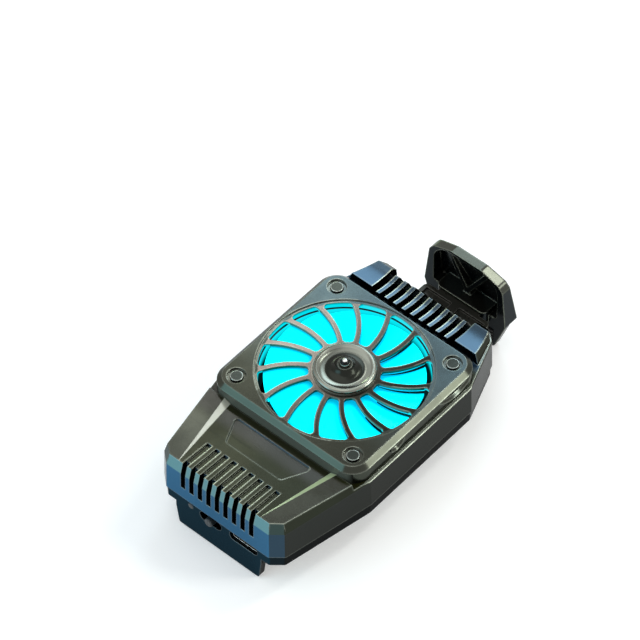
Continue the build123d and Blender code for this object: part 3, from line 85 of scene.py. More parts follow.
def placeCamera(s):
    azimuth, elevation, roll = radians(s["azimuth"]), radians(s["elevation"]), radians(s["roll"])
    back = Vector((sin(azimuth) * cos(elevation), -cos(azimuth) * cos(elevation), sin(elevation)))
    level = Vector((cos(azimuth), sin(azimuth), 0))
    upright = back.cross(level)
    right = level * cos(roll) + upright * sin(roll)
    up = upright * cos(roll) - level * sin(roll)
    spot = Vector(s["aim"]) + back * s["distance"] - right * s["aside"] - up * s["above"]
    data = bpy.data.cameras.new("camera")
    data.lens = s["focalPixels"] / s["framePixels"] * s["sensor"]
    data.sensor_width = s["sensor"]
    data.clip_start, data.clip_end = s["clip"]
    camera = bpy.data.objects.new("camera", data)
    camera.matrix_world = Matrix((
        (right.x, up.x, back.x, spot.x),
        (right.y, up.y, back.y, spot.y),
        (right.z, up.z, back.z, spot.z),
        (0, 0, 0, 1),
    ))
    bpy.context.scene.collection.objects.link(camera)
    bpy.context.scene.camera = camera


placeCamera(cameraSettings)
print("camera placed")


# shader building blocks

def link(tree, start, end):
    tree.links.new(start, end)


def feed(tree, value, socket):
    # a number is set on the socket, anything else is linked to it
    if isinstance(value, (int, float)):
        socket.default_value = value
    else:
        link(tree, value, socket)


def newGroup(name, inputs, outputs):
    group = bpy.data.node_groups.new(name, "ShaderNodeTree")
    for label, value in inputs:
        group.interface.new_socket(label, in_out="INPUT", socket_type="NodeSocketFloat").default_value = value
    for label in outputs:
        group.interface.new_socket(label, in_out="OUTPUT", socket_type="NodeSocketFloat")
    return group, group.nodes.new("NodeGroupInput").outputs, group.nodes.new("NodeGroupOutput").inputs


def math(tree, operation, *values):
    node = tree.nodes.new("ShaderNodeMath")
    node.operation = operation
    for value, socket in zip(values, node.inputs):
        feed(tree, value, socket)
    return node.outputs[0]


def allOf(tree, first, *others):
    # masks multiplied: where every one of them holds
    for other in others:
        first = math(tree, "MULTIPLY", first, other)
    return first


def vectorMath(tree, operation, first, second):
    node = tree.nodes.new("ShaderNodeVectorMath")
    node.operation = operation
    link(tree, first, node.inputs[0])
    link(tree, second, node.inputs[1])
    return node


def noise(tree, vector, scale, detail=3.0, roughness=0.55):
    node = tree.nodes.new("ShaderNodeTexNoise")
    node.inputs["Detail"].default_value = detail
    node.inputs["Roughness"].default_value = roughness
    feed(tree, scale, node.inputs["Scale"])
    link(tree, vector, node.inputs["Vector"])
    return node.outputs["Fac"]


def remap(tree, value, fromRange, toRange=(0.0, 1.0)):
    node = tree.nodes.new("ShaderNodeMapRange")
    node.interpolation_type = "SMOOTHSTEP"
    for label, amount in zip(("Value", "From Min", "From Max", "To Min", "To Max"),
                             (value, *fromRange, *toRange)):
        feed(tree, amount, node.inputs[label])
    return node.outputs["Result"]


def onObject(tree, kind):
    # "Object" for the place on the object, "Normal" for the way its surface looks
    return tree.nodes.new("ShaderNodeTexCoord").outputs[kind]


def split(tree, vector):
    node = tree.nodes.new("ShaderNodeSeparateXYZ")
    link(tree, vector, node.inputs[0])
    return node.outputs


def reachFromAxis(tree, where):
    squares = [math(tree, "MULTIPLY", part, part) for part in split(tree, where)[:2]]
    return math(tree, "SQRT", math(tree, "ADD", *squares))


def mixColour(tree, share, first, second):
    node = tree.nodes.new("ShaderNodeMix")
    node.data_type = "RGBA"
    sockets = [socket for socket in node.inputs if socket.type == "RGBA"]
    for socket, value in zip(sockets, (first, second)):
        if isinstance(value, tuple):
            socket.default_value = value + (1.0,)
        else:
            link(tree, value, socket)
    link(tree, share, node.inputs[0])
    return [socket for socket in node.outputs if socket.type == "RGBA"][0]


# worn edges, whose pale colour is partly wear and partly painted highlight: how far a rounded normal turns
# from the flat one, on outer corners only and broken up so that wear looks rubbed; crevice is where two faces
# meet inwards, for painted shade
edgeWearAndHighlight = {
    "samples": 8,
    "turned": (0.996, 0.955),  # cosine of the turn, from none to full wear
    "open": (0.42, 0.60),  # how open an edge lies, from an inner corner to an outer one
    "shut": (0.80, 0.35),  # and from an open face into a crevice, where shade is painted
    "leaning": (0.0, 0.12),  # how far an edge leans to the side with the painted highlight, from none to full
    "upward": 0.3,  # least upward normal of a face whose edges get the painted highlight on one side
    "rubDetail": 4.0,
    "rubPatches": (0.30, 0.62),
    "rubbed": (0.72, 1.0),  # share of full wear in the least and the most rubbed patches
}


def makeEdgeWearAndHighlight(s):
    group, given, made = newGroup(
        "edgeWearAndHighlight", [("Radius", 0.0004), ("Breakup", 900.0), ("Shy", 1.0), ("Middle", 0.0102)],
        ["Mask", "PaintedShade"])
    rounded = group.nodes.new("ShaderNodeBevel")
    rounded.samples = s["samples"]
    link(group, given["Radius"], rounded.inputs["Radius"])
    roundNormal = rounded.outputs["Normal"]
    flatNormal = group.nodes.new("ShaderNodeNewGeometry").outputs["Normal"]
    likeness = vectorMath(group, "DOT_PRODUCT", roundNormal, flatNormal).outputs["Value"]
    turned = remap(group, likeness, s["turned"])
    occlusion = group.nodes.new("ShaderNodeAmbientOcclusion")
    occlusion.samples = s["samples"]
    occlusion.only_local = True
    link(group, given["Radius"], occlusion.inputs["Distance"])
    outer = remap(group, occlusion.outputs["AO"], s["open"])
    # painted highlight: upward faces get more of the pale edge colour on their -Y edges, and between the
    # deck's grooves on their +Y edges, where light catches them
    where = onObject(group, "Object")
    middle = math(group, "LESS_THAN", math(group, "ABSOLUTE", split(group, where)[1]), given["Middle"])
    way = math(group, "SUBTRACT", math(group, "MULTIPLY", middle, 2.0), 1.0)
    lean = split(group, vectorMath(group, "SUBTRACT", roundNormal, flatNormal).outputs["Vector"])[1]
    side = remap(group, math(group, "MULTIPLY", lean, way), s["leaning"])
    side = allOf(group, side, math(group, "GREATER_THAN", split(group, flatNormal)[2], s["upward"]))
    side = math(group, "MAXIMUM", side, given["Shy"])
    rubbed = remap(group, noise(group, where, given["Breakup"], s["rubDetail"]), s["rubPatches"], s["rubbed"])
    link(group, allOf(group, turned, rubbed, side, outer), made["Mask"])
    link(group, remap(group, occlusion.outputs["AO"], s["shut"]), made["PaintedShade"])
    return group


# zones of painted light and shade: painted reflections, highlights and shade, picked by the place of a face
# and by the way that it looks
facingZones = (
    "Far",  # upward faces towards the exhaust
    "Top",  # high faces that look up
    "Wall",  # upright faces
    "End",  # upright faces at the charging end
    "EndSlope",  # leaning faces there
    "Rail",  # the two rails' flat tops
    "SideSlope",  # faces that lean to the -Y side
    "DeckFoot",  # the deck and the rails' tops, more and more towards the fan cover
    "RailFacet",  # the -Y rail's inner facet
    "RailFacetLeft",  # the +Y rail's inner facet
    "Round",  # level faces inside the grille's circle
    "RoundLeft",  # the same, more and more towards +Y
)
# places in metres, and how much a face looks up, along the body or sideways, from -1 to 1
facingLimits = {
    "farUpward": (0.78, 0.92), "endward": (-0.66, -0.96),
    "railUpward": 0.98, "railAlong": 0.065,  # the rails' tops lie flatter than the deck between them
    "railEnd": -0.0165,  # under the fan cover's edge
    "footFade": (-0.0285, -0.0230), "nearlyLevel": 0.9,
    "circle": 0.0182, "circleFade": (-0.011, 0.015),
    "facetSideways": (0.28, 0.52), "facetUpward": 0.8,
    "slopeSideways": -0.3, "slopeAlong": 0.1, "slopeUpward": 0.3,
}


def makePaintedLight(s):
    group, given, made = newGroup(
        "facing", [("Upright", 0.24), ("FarFrom", 0.019), ("FarTo", 0.022), ("TopFrom", 0.011)], facingZones)
    along, sideways, upward = split(group, onObject(group, "Normal"))
    where = onObject(group, "Object")
    x, y, z = split(group, where)

    def above(value, least):
        return math(group, "GREATER_THAN", value, least)

    def below(value, most):
        return math(group, "LESS_THAN", value, most)

    def between(value, limits):
        return allOf(group, above(value, limits[0]), below(value, limits[1]))

    upright = below(math(group, "ABSOLUTE", upward), given["Upright"])
    end = remap(group, along, s["endward"])
    beforeCover = below(x, s["railEnd"])
    nearlyLevel = above(upward, s["nearlyLevel"])
    rail = allOf(group, above(upward, s["railUpward"]), below(along, s["railAlong"]), beforeCover)
    foot = allOf(group, remap(group, x, s["footFade"]), beforeCover, nearlyLevel)
    facet = above(upward, s["facetUpward"])
    circle = allOf(group, below(reachFromAxis(group, where), s["circle"]), nearlyLevel)
    slope = allOf(group, below(sideways, s["slopeSideways"]),
                  below(math(group, "ABSOLUTE", along), s["slopeAlong"]), above(upward, s["slopeUpward"]))
    masks = {
        "Far": allOf(group, remap(group, x, (given["FarFrom"], given["FarTo"])),
                     remap(group, upward, s["farUpward"])),
        "Top": allOf(group, above(z, given["TopFrom"]), above(upward, given["Upright"])),
        "Wall": upright,
        "End": allOf(group, end, upright),
        "EndSlope": allOf(group, end, math(group, "SUBTRACT", 1.0, upright)),
        "Rail": rail,
        "SideSlope": slope,
        "DeckFoot": foot,
        "RailFacet": allOf(group, between(sideways, s["facetSideways"]), facet),
        "RailFacetLeft": allOf(
            group, between(math(group, "MULTIPLY", sideways, -1.0), s["facetSideways"]), facet),
        "Round": circle,
        "RoundLeft": allOf(group, circle, remap(group, y, s["circleFade"])),
    }
    for label, mask in masks.items():
        link(group, mask, made[label])
    return group


# fine moulding texture with a slow waviness under it
mouldGrain = {"fineDetail": 2.0, "slowDetail": 1.0, "slowShare": 0.6}


def makeMouldGrain(s):
    group, given, made = newGroup("mouldGrain", [("Scale", 6000.0), ("Waviness", 90.0)], ["Height", "Value"])
    where = onObject(group, "Object")
    fine = noise(group, where, given["Scale"], s["fineDetail"])
    slow = noise(group, where, given["Waviness"], s["slowDetail"])
    link(group, math(group, "ADD", fine, math(group, "MULTIPLY", slow, s["slowShare"])), made["Height"])
    link(group, slow, made["Value"])
    return group


# handling marks: broad smudges and thin short scratches, for roughness
handlingMarks = {
    "smudgeDetail": 5.0, "smudgeRoughness": 0.62, "smudged": (0.35, 0.7),
    "scratchTurn": (0.3, 0.2, 0.9), "scratchStretch": (1.0, 0.04, 0.3), "scratchDetail": 2.0,
    "scratched": (0.66, 0.74),
}


def makeHandling(s):
    group, given, made = newGroup(
        "handling", [("Smudges", 70.0), ("Scratches", 1400.0)], ["Smudge", "Scratch"])
    where = onObject(group, "Object")
    smudges = noise(group, where, given["Smudges"], s["smudgeDetail"], s["smudgeRoughness"])
    link(group, remap(group, smudges, s["smudged"]), made["Smudge"])
    stretched = group.nodes.new("ShaderNodeMapping")
    stretched.inputs["Rotation"].default_value = s["scratchTurn"]
    stretched.inputs["Scale"].default_value = s["scratchStretch"]
    link(group, where, stretched.inputs["Vector"])
    lines = noise(group, stretched.outputs["Vector"], given["Scratches"], s["scratchDetail"])
    link(group, remap(group, lines, s["scratched"]), made["Scratch"])
    return group


# turned metal: fine rings round the fan's axis
turnedLines = {"detail": 2.0, "rise": 0.35}


def makeTurnedLines(s):
    group, given, made = newGroup("turnedLines", [("Pitch", 5200.0)], ["Height"])
    where = onObject(group, "Object")
    ring = group.nodes.new("ShaderNodeCombineXYZ")
    link(group, reachFromAxis(group, where), ring.inputs[0])
    link(group, math(group, "MULTIPLY", split(group, where)[2], s["rise"]), ring.inputs[1])
    link(group, noise(group, ring.outputs[0], given["Pitch"], s["detail"]), made["Height"])
    return group


# painted light: a glow on the upright walls round the blades in place of the light they throw, fading from
# one height to another
lightSpill = {"outerReach": 0.01875, "upright": 0.6}


def makeLightSpill(s):
    group, given, made = newGroup(
        "lightSpill", [("Reach", 0.0172), ("Foot", 0.0154), ("Top", 0.0163)], ["Mask"])
    where = onObject(group, "Object")
    upward = split(group, onObject(group, "Normal"))[2]
    reach = reachFromAxis(group, where)
    ring = allOf(group, math(group, "GREATER_THAN", reach, given["Reach"]),
                 math(group, "LESS_THAN", reach, s["outerReach"]))
    upright = math(group, "LESS_THAN", math(group, "ABSOLUTE", upward), s["upright"])
    fade = remap(group, split(group, where)[2], (given["Foot"], given["Top"]), (1.0, 0.0))
    link(group, allOf(group, ring, allOf(group, upright, fade)), made["Mask"])
    return group


effects = {
    "edgeWearAndHighlight": makeEdgeWearAndHighlight(edgeWearAndHighlight),
    "mouldGrain": makeMouldGrain(mouldGrain),
    "handling": makeHandling(handlingMarks),
    "turnedLines": makeTurnedLines(turnedLines),
    "lightSpill": makeLightSpill(lightSpill),
    "facing": makePaintedLight(facingLimits),
}


def addEffect(tree, effect, **values):
    node = tree.nodes.new("ShaderNodeGroup")
    node.node_tree = effects[effect]
    for label, value in values.items():
        node.inputs[label].default_value = value
    return node.outputs


# what a finish has where it doesn't say otherwise, with lengths in metres
usualFinish = {
    "grainScale": 6000.0, "smudgeScale": 70.0, "scratch": 0.06,
    "secondShade": 0.86, "patches": (0.3, 0.7),  # a slightly darker colour in slow patches
    "wearAndHighlight": 0.35, "wearAndShadeRadius": 0.0003, "edgeBreakup": 900.0,
    "shy": 1.0,  # share of the pale edge colour left on the edges away from the painted highlight
    "paleEdgeGain": 2.2, "paleEdgeLift": 0.02,  # how much paler a worn edge with its painted highlight is
    # painted shade: crevices are darkened towards this colour
    "creviceShade": 0.4, "creviceShadeColour": (0.002, 0.002, 0.002),
    "edge": 0.00025, "edgeSamples": 6,  # how far edges are softened
    "relief": 0.12, "reliefDepth": 0.00004, "ribRelief": 0.8,
    "domeFrom": (0.30, 0.45), "domeTo": (0.86, 0.95),  # upward normals over which a dome's band fades
    "coreFade": 0.0003,
}
plainSockets = {
    "metallic": "Metallic", "coat": "Coat Weight", "coatRoughness": "Coat Roughness",
    "specular": "Specular IOR Level", "anisotropic": "Anisotropic", "sheen": "Sheen Weight",
}


def addPaintedLightZones(tree, shader, s, colour):
    facing = addEffect(tree, "facing", **s.get("zones", {}))
    for label in facingZones:
        if label in s["facing"]:
            colour = mixColour(tree, facing[label], colour, s["facing"][label])
    if "satin" in s:
        # no metal flake in these zones, so that their painted light and shade show as plain colour
        satin = 0.0
        for label in s["satin"]:
            satin = math(tree, "MAXIMUM", facing[label], satin)
        link(tree, remap(tree, satin, (0.0, 1.0), (s["metallic"], 0.0)), shader.inputs["Metallic"])
    return colour


def addDomeBand(tree, s, colour):
    # painted reflection: a dark band round a polished dome, between its foot and its crown
    upward = split(tree, onObject(tree, "Normal"))[2]
    band = allOf(tree, remap(tree, upward, s["domeFrom"]), remap(tree, upward, s["domeTo"], (1.0, 0.0)))
    return mixColour(tree, band, colour, s["dome"])


def addCore(tree, s, colour):
    # another colour within a reach of the fan's axis
    reach = reachFromAxis(tree, onObject(tree, "Object"))
    outside = remap(tree, reach, (s["coreReach"], s["coreReach"] + s["coreFade"]))
    return mixColour(tree, outside, s["core"], colour)


def addCreviceShadeAndWornLitEdges(tree, s, colour):
    # painted shade in the crevices, and rubbed outer edges that are partly wear and partly painted highlight
    wearAndHighlight = addEffect(tree, "edgeWearAndHighlight", Radius=s["wearAndShadeRadius"], Breakup=s["edgeBreakup"], Shy=s["shy"])
    colour = mixColour(tree, math(tree, "MULTIPLY", wearAndHighlight["PaintedShade"], s["creviceShade"]), colour, s["creviceShadeColour"])
    wornAndLit = math(tree, "MULTIPLY", wearAndHighlight["Mask"], s["wearAndHighlight"])
    paler = tuple(min(1.0, c * s["paleEdgeGain"] + s["paleEdgeLift"]) for c in s["colour"])
    return mixColour(tree, wornAndLit, colour, s.get("wornAndLitColour", paler))


def addRelief(tree, shader, s, height):
    # fine relief over softened edges: turned rings or ribs where the finish has them, else the grain
    rounded = tree.nodes.new("ShaderNodeBevel")
    rounded.samples = s["edgeSamples"]
    rounded.inputs["Radius"].default_value = s["edge"]
    bump = tree.nodes.new("ShaderNodeBump")
    bump.inputs["Strength"].default_value = s["relief"]
    bump.inputs["Distance"].default_value = s["reliefDepth"]
    if "turned" in s:
        height = addEffect(tree, "turnedLines", Pitch=s["turned"])["Height"]
    if "ribs" in s:
        across = split(tree, onObject(tree, "Object"))[1]
        height = math(tree, "SINE", math(tree, "MULTIPLY", across, 2 * pi / s["ribs"]))
        bump.inputs["Strength"].default_value = s["ribRelief"]
    link(tree, height, bump.inputs["Height"])
    link(tree, rounded.outputs["Normal"], bump.inputs["Normal"])
    link(tree, bump.outputs["Normal"], shader.inputs["Normal"])


def newMaterial(name):
    material = bpy.data.materials.new(name)
    material.use_nodes = True
    return material, material.node_tree, material.node_tree.nodes["Principled BSDF"]


# every finish starts from this: a shader, its colour with painted light and shade, painted crevice shade and
# worn edges with painted highlights, roughness with smudges and scratches, and fine relief
def makeFinish(name, settings):
    s = dict(usualFinish, **settings)
    material, tree, shader = newMaterial(name)
    for key, label in plainSockets.items():
        if key in s:
            shader.inputs[label].default_value = s[key]
    if "specularTint" in s:
        shader.inputs["Specular Tint"].default_value = s["specularTint"] + (1.0,)
    handling = addEffect(tree, "handling", Smudges=s["smudgeScale"])
    grain = addEffect(tree, "mouldGrain", Scale=s["grainScale"])
    secondColour = tuple(c * s["secondShade"] for c in s["colour"])
    colour = mixColour(tree, remap(tree, grain["Value"], s["patches"]), s["colour"],
                       s.get("secondColour", secondColour))
    if "facing" in s:
        colour = addPaintedLightZones(tree, shader, s, colour)
    if "dome" in s:
        colour = addDomeBand(tree, s, colour)
    if "core" in s:
        colour = addCore(tree, s, colour)
    link(tree, addCreviceShadeAndWornLitEdges(tree, s, colour), shader.inputs["Base Color"])
    rough = math(tree, "ADD", remap(tree, handling["Smudge"], (0.0, 1.0), s["roughness"]),
                 math(tree, "MULTIPLY", handling["Scratch"], s["scratch"]))
    link(tree, rough, shader.inputs["Roughness"])
    addRelief(tree, shader, s, grain["Height"])
    if "spill" in s:
        spill = addEffect(tree, "lightSpill", **s.get("spillZone", {}))["Mask"]
        link(tree, mixColour(tree, spill, (0.0, 0.0, 0.0), s["spill"]), shader.inputs["Emission Color"])
        shader.inputs["Emission Strength"].default_value = 1.0
    return material


# dark olive lacquer over metal flake, with painted light and shade by facing: painted blue reflections on the
# posts at the exhaust and on the charging end, painted highlights on the rails and their inner facets, and
# painted shade on the side slopes and on the deck towards the fan cover
shellLacquer = {
    "colour": (0.027, 0.030, 0.021), "secondColour": (0.023, 0.025, 0.017), "wornAndLitColour": (0.34, 0.37, 0.31),
    "facing": {
        "Far": (0.036, 0.060, 0.085), "Wall": (0.028, 0.030, 0.027), "End": (0.034, 0.130, 0.245),
        "EndSlope": (0.105, 0.235, 0.265), "Rail": (0.054, 0.058, 0.048), "SideSlope": (0.012, 0.013, 0.011),
        "DeckFoot": (0.009, 0.010, 0.001), "RailFacet": (0.34, 0.42, 0.24),
        "RailFacetLeft": (0.38, 0.39, 0.33)},
    "metallic": 1.0, "satin": ("RailFacet", "RailFacetLeft", "DeckFoot"), "specularTint": (0.62, 0.62, 0.62),
    "wearAndHighlight": 0.75, "wearAndShadeRadius": 0.0006, "shy": 0.22, "roughness": (0.14, 0.22), "creviceShade": 0.8, "relief": 0.05,
    "edge": 0.00022}
# the same lacquer on the fan cover, lighter, with its own painted light and shade: a painted teal reflection
# towards the exhaust, lighter end walls, darker level faces in the grille's circle that turn to a painted
# pale reflection towards +Y, and a painted glow from the blades in its openings
coverLacquer = {
    "colour": (0.048, 0.052, 0.040), "secondColour": (0.044, 0.047, 0.037),
    "facing": {
        "Far": (0.070, 0.102, 0.112), "Wall": (0.050, 0.056, 0.044), "End": (0.115, 0.128, 0.104),
        "Round": (0.022, 0.023, 0.018), "RoundLeft": (0.175, 0.155, 0.140)},
    "zones": {"FarFrom": -0.016, "FarTo": 0.018}, "satin": ("End",), "spill": (0.0, 0.75, 0.86), "wearAndHighlight": 0.5}
finishSettings = {
    "shellGunmetal": shellLacquer,
    "coverGunmetal": dict(shellLacquer, **coverLacquer),
    "screwGunmetal": {
        "colour": (0.050, 0.060, 0.054), "wornAndLitColour": (0.36, 0.40, 0.37), "wearAndHighlight": 0.7, "wearAndShadeRadius": 0.0005,
        "metallic": 1.0, "specularTint": (0.62, 0.62, 0.62), "roughness": (0.14, 0.22), "relief": 0.05,
        "edge": 0.0003},
    # painted reflection: steel blue on the charging end's faces, with slightly darker walls
    "lowerGunmetal": {
        "colour": (0.010, 0.012, 0.013), "wornAndLitColour": (0.16, 0.19, 0.20), "wearAndHighlight": 0.6, "metallic": 1.0,
        "facing": {
            "Wall": (0.009, 0.010, 0.010), "End": (0.005, 0.026, 0.042), "EndSlope": (0.01, 0.03, 0.05)},
        "specularTint": (0.56, 0.56, 0.56), "roughness": (0.22, 0.32), "relief": 0.10, "edge": 0.0002},
    # painted light on the jaw's high upward faces, painted shade on its walls
    "jawBlack": {
        "colour": (0.024, 0.025, 0.021), "wornAndLitColour": (0.22, 0.24, 0.19), "wearAndHighlight": 0.6, "metallic": 0.8,
        "facing": {"Top": (0.055, 0.058, 0.047), "Wall": (0.010, 0.014, 0.016)},
        "specularTint": (0.60, 0.60, 0.60), "roughness": (0.14, 0.22), "wearAndShadeRadius": 0.0004, "edge": 0.0004},
    # the dish round the cone is brighter than the cone: a painted highlight on its level faces, turning to
    # painted shade towards +Y
    "hubLacquer": {
        "colour": (0.20, 0.21, 0.18), "metallic": 1.0, "roughness": (0.20, 0.26), "turned": 5200.0,
        "anisotropic": 0.6, "relief": 0.06, "reliefDepth": 0.00003, "wearAndHighlight": 0.2, "edge": 0.0002,
        "facing": {"Round": (0.27, 0.29, 0.25), "RoundLeft": (0.045, 0.047, 0.038)},
        "core": (0.022, 0.024, 0.020), "coreReach": 0.0041},
    # painted reflection: a dark band on the polished pin's dome
    "pinPolish": {
        "colour": (0.62, 0.64, 0.62), "dome": (0.012, 0.013, 0.013), "metallic": 1.0,
        "roughness": (0.05, 0.10), "relief": 0.02, "wearAndHighlight": 0.0, "edge": 0.0003},
    "platedSteel": {
        "colour": (0.36, 0.35, 0.33), "metallic": 1.0, "roughness": (0.25, 0.38), "relief": 0.08,
        "wearAndHighlight": 0.3, "edge": 0.00015},
    "springWire": {
        "colour": (0.46, 0.46, 0.46), "metallic": 1.0, "roughness": (0.22, 0.34), "relief": 0.08},
    "armCoat": {
        "colour": (0.030, 0.030, 0.024), "wornAndLitColour": (0.16, 0.16, 0.14), "wearAndHighlight": 0.6, "metallic": 0.4,
        "specularTint": (0.56, 0.56, 0.56), "roughness": (0.26, 0.38), "relief": 0.2, "grainScale": 5200.0},
    "nickelShell": {
        "colour": (0.52, 0.52, 0.50), "metallic": 1.0, "roughness": (0.16, 0.26), "relief": 0.04,
        "edge": 0.0001},
    "matBlack": {
        "colour": (0.014, 0.014, 0.014), "roughness": (0.50, 0.62), "specular": 0.4, "relief": 0.3},
    # painted light: a glow from the blades on the fan frame's bore
    "fanBlack": {
        "colour": (0.012, 0.012, 0.012), "roughness": (0.50, 0.62), "specular": 0.3, "relief": 0.3,
        "spill": (0.0, 0.80, 0.90), "spillZone": {"Reach": 0.0172, "Foot": 0.0138, "Top": 0.0105}},
    "knobSatin": {
        "colour": (0.014, 0.022, 0.026), "wornAndLitColour": (0.16, 0.18, 0.18), "roughness": (0.30, 0.40),
        "ribs": 0.00042, "wearAndHighlight": 0.4, "edge": 0.00015},
    "smokedLens": {
        "colour": (0.008, 0.010, 0.011), "roughness": (0.05, 0.10), "relief": 0.02, "wearAndHighlight": 0.0,
        "specular": 0.35, "edge": 0.0002},
    "softSilicone": {
        "colour": (0.010, 0.010, 0.010), "roughness": (0.58, 0.72), "specular": 0.3, "relief": 0.35,
        "sheen": 0.15, "grainScale": 8000.0, "wearAndHighlight": 0.12},
    "blastedAluminium": {
        "colour": (0.52, 0.53, 0.54), "metallic": 1.0, "roughness": (0.38, 0.48), "relief": 0.35,
        "grainScale": 9000.0, "wearAndHighlight": 0.25},
    "motorIron": {
        "colour": (0.20, 0.20, 0.21), "metallic": 0.9, "roughness": (0.40, 0.52), "relief": 0.2},
    "bushBronze": {
        "colour": (0.50, 0.34, 0.15), "metallic": 1.0, "roughness": (0.30, 0.42), "relief": 0.15},
    "boardLaminate": {
        "colour": (0.010, 0.070, 0.030), "secondColour": (0.012, 0.090, 0.040), "roughness": (0.28, 0.40),
        "relief": 0.10, "coat": 0.3, "coatRoughness": 0.2},
    "cellFoil": {
        "colour": (0.16, 0.165, 0.18), "metallic": 0.4, "roughness": (0.36, 0.50), "relief": 0.2},
    "lampEpoxy": {
        "colour": (0.70, 0.74, 0.72), "roughness": (0.12, 0.22), "relief": 0.05, "specular": 0.5},
    "goldContact": {
        "colour": (0.80, 0.56, 0.20), "metallic": 1.0, "roughness": (0.18, 0.28), "relief": 0.03},
}
finishes = {name: makeFinish(name, settings) for name, settings in finishSettings.items()}


# painted glow: the blades give off cyan light of their own in place of the lamps that light them from inside;
# it deepens towards the hub, with painted shade where something stands close over them
bladeGlow = {
    "bright": (0.0, 0.96, 1.0), "deep": (0.0, 0.62, 0.78), "deepReach": (0.0075, 0.0105), "strength": 1.0,
    "shade": (0.0, 0.36, 0.55), "shadeReach": 0.0016, "shadeSamples": 8, "shaded": (0.95, 0.45),
    "gloss": 0.03, "roughness": (0.22, 0.32), "mottleScale": 160.0, "mottleDetail": 2.0,
    "mottled": (0.3, 0.7),
}


def makeBladeFinish(s):
    material, tree, shader = newMaterial("litBlade")
    where = onObject(tree, "Object")
    outward = remap(tree, reachFromAxis(tree, where), s["deepReach"])
    cover = tree.nodes.new("ShaderNodeAmbientOcclusion")
    cover.samples = s["shadeSamples"]
    cover.inputs["Distance"].default_value = s["shadeReach"]
    colour = mixColour(tree, outward, s["deep"], s["bright"])
    colour = mixColour(tree, remap(tree, cover.outputs["AO"], s["shaded"]), colour, s["shade"])
    link(tree, colour, shader.inputs["Emission Color"])
    link(tree, colour, shader.inputs["Base Color"])
    shader.inputs["Emission Strength"].default_value = s["strength"]
    shader.inputs["Specular IOR Level"].default_value = s["gloss"]
    mottle = remap(tree, noise(tree, where, s["mottleScale"], s["mottleDetail"]), s["mottled"])
    link(tree, remap(tree, mottle, (0.0, 1.0), s["roughness"]), shader.inputs["Roughness"])
    return material


finishes["litBlade"] = makeBladeFinish(bladeGlow)
print("finishes made:", len(finishes))

finishOfNode = {
    "upper_shell": "shellGunmetal", "fan_cover": "coverGunmetal", "lower_shell": "lowerGunmetal",
    "hub_cap": "hubLacquer", "hub_pin": "pinPolish", "cover_screws": "screwGunmetal",
    "housing_screws": "platedSteel", "fan_frame": "fanBlack", "fan_lamps": "lampEpoxy",
    "motor_board": "boardLaminate", "motor_stator": "motorIron", "shaft_bush": "bushBronze",
    "slide_cover": "matBlack", "clamp_springs": "springWire", "heat_sink": "blastedAluminium",
    "contact_pad": "softSilicone", "circuit_board": "boardLaminate", "battery_cell": "cellFoil",
    "usb_socket": "nickelShell", "usb_tongue": "matBlack", "switch_body": "matBlack",
    "indicator_lens": "smokedLens", "indicator_led": "lampEpoxy", "fixed_jaw_pad": "softSilicone",
    "fan_rotor": "litBlade", "rotor_shaft": "platedSteel", "magnet_ring": "motorIron",
    "clamp_arm": "armCoat", "clamp_jaw": "jawBlack", "jaw_pad": "softSilicone", "jaw_pins": "platedSteel",
    "switch_knob": "knobSatin",
}
for node, finish in finishOfNode.items():
    piece = nodes[node]
    piece.data.materials.clear()
    piece.data.materials.append(finishes[finish])
print("solids finished")


def addPiece(name, shape, finish):
    bmesh.ops.recalc_face_normals(shape, faces=shape.faces)
    mesh = bpy.data.meshes.new(name)
    shape.to_mesh(mesh)
    shape.free()
    mesh.materials.append(finishes[finish])
    piece = bpy.data.objects.new(name, mesh)
    bpy.context.scene.collection.objects.link(piece)
    return piece


# gilt strips on both faces of the charging socket's tongue
contactStrips = {"count": 8, "pitch": 0.00052, "width": 0.00026, "setback": 0.00015, "length": 0.0032,
                 "thickness": 0.00002}


def addOutline(shape, near, far, middle, half, level):
    corners = [(near, middle - half), (near, middle + half), (far, middle + half), (far, middle - half)]
    return [shape.verts.new((x, y, level)) for x, y in corners]


def addContactStrips(s):
    low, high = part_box("usb_tongue")
    centre = (low[1] + high[1]) / 2
    near, far = low[0] + s["setback"], low[0] + s["setback"] + s["length"]
    half = s["width"] / 2
    shape = bmesh.new()
    for level, up in ((high[2], 1), (low[2], -1)):
        for i in range(s["count"]):
            middle = centre + (i - (s["count"] - 1) / 2) * s["pitch"]
            lower = addOutline(shape, near, far, middle, half, level)
            # the front end is bevelled where the plug slides on
            upper = addOutline(shape, near + s["setback"], far, middle, half, level + up * s["thickness"])
            shape.faces.new(upper)
            shape.faces.new(lower[::-1])
            for j in range(4):
                k = (j + 1) % 4
                shape.faces.new((lower[j], lower[k], upper[k], upper[j]))
    strips = addPiece("contactStrips", shape, "goldContact")
    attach(strips, "housing")


addContactStrips(contactStrips)
print("contact strips laid")


# wound springs that push the clamp in, one each side of the arm
clampSprings = {
    "wire": 0.00035, "turns": 13, "closedTurns": 1.5,
    "closedPitch": 1.04,  # in wires
    "steps": 18, "sides": 8,  # steps in a turn and sides of the wire
}


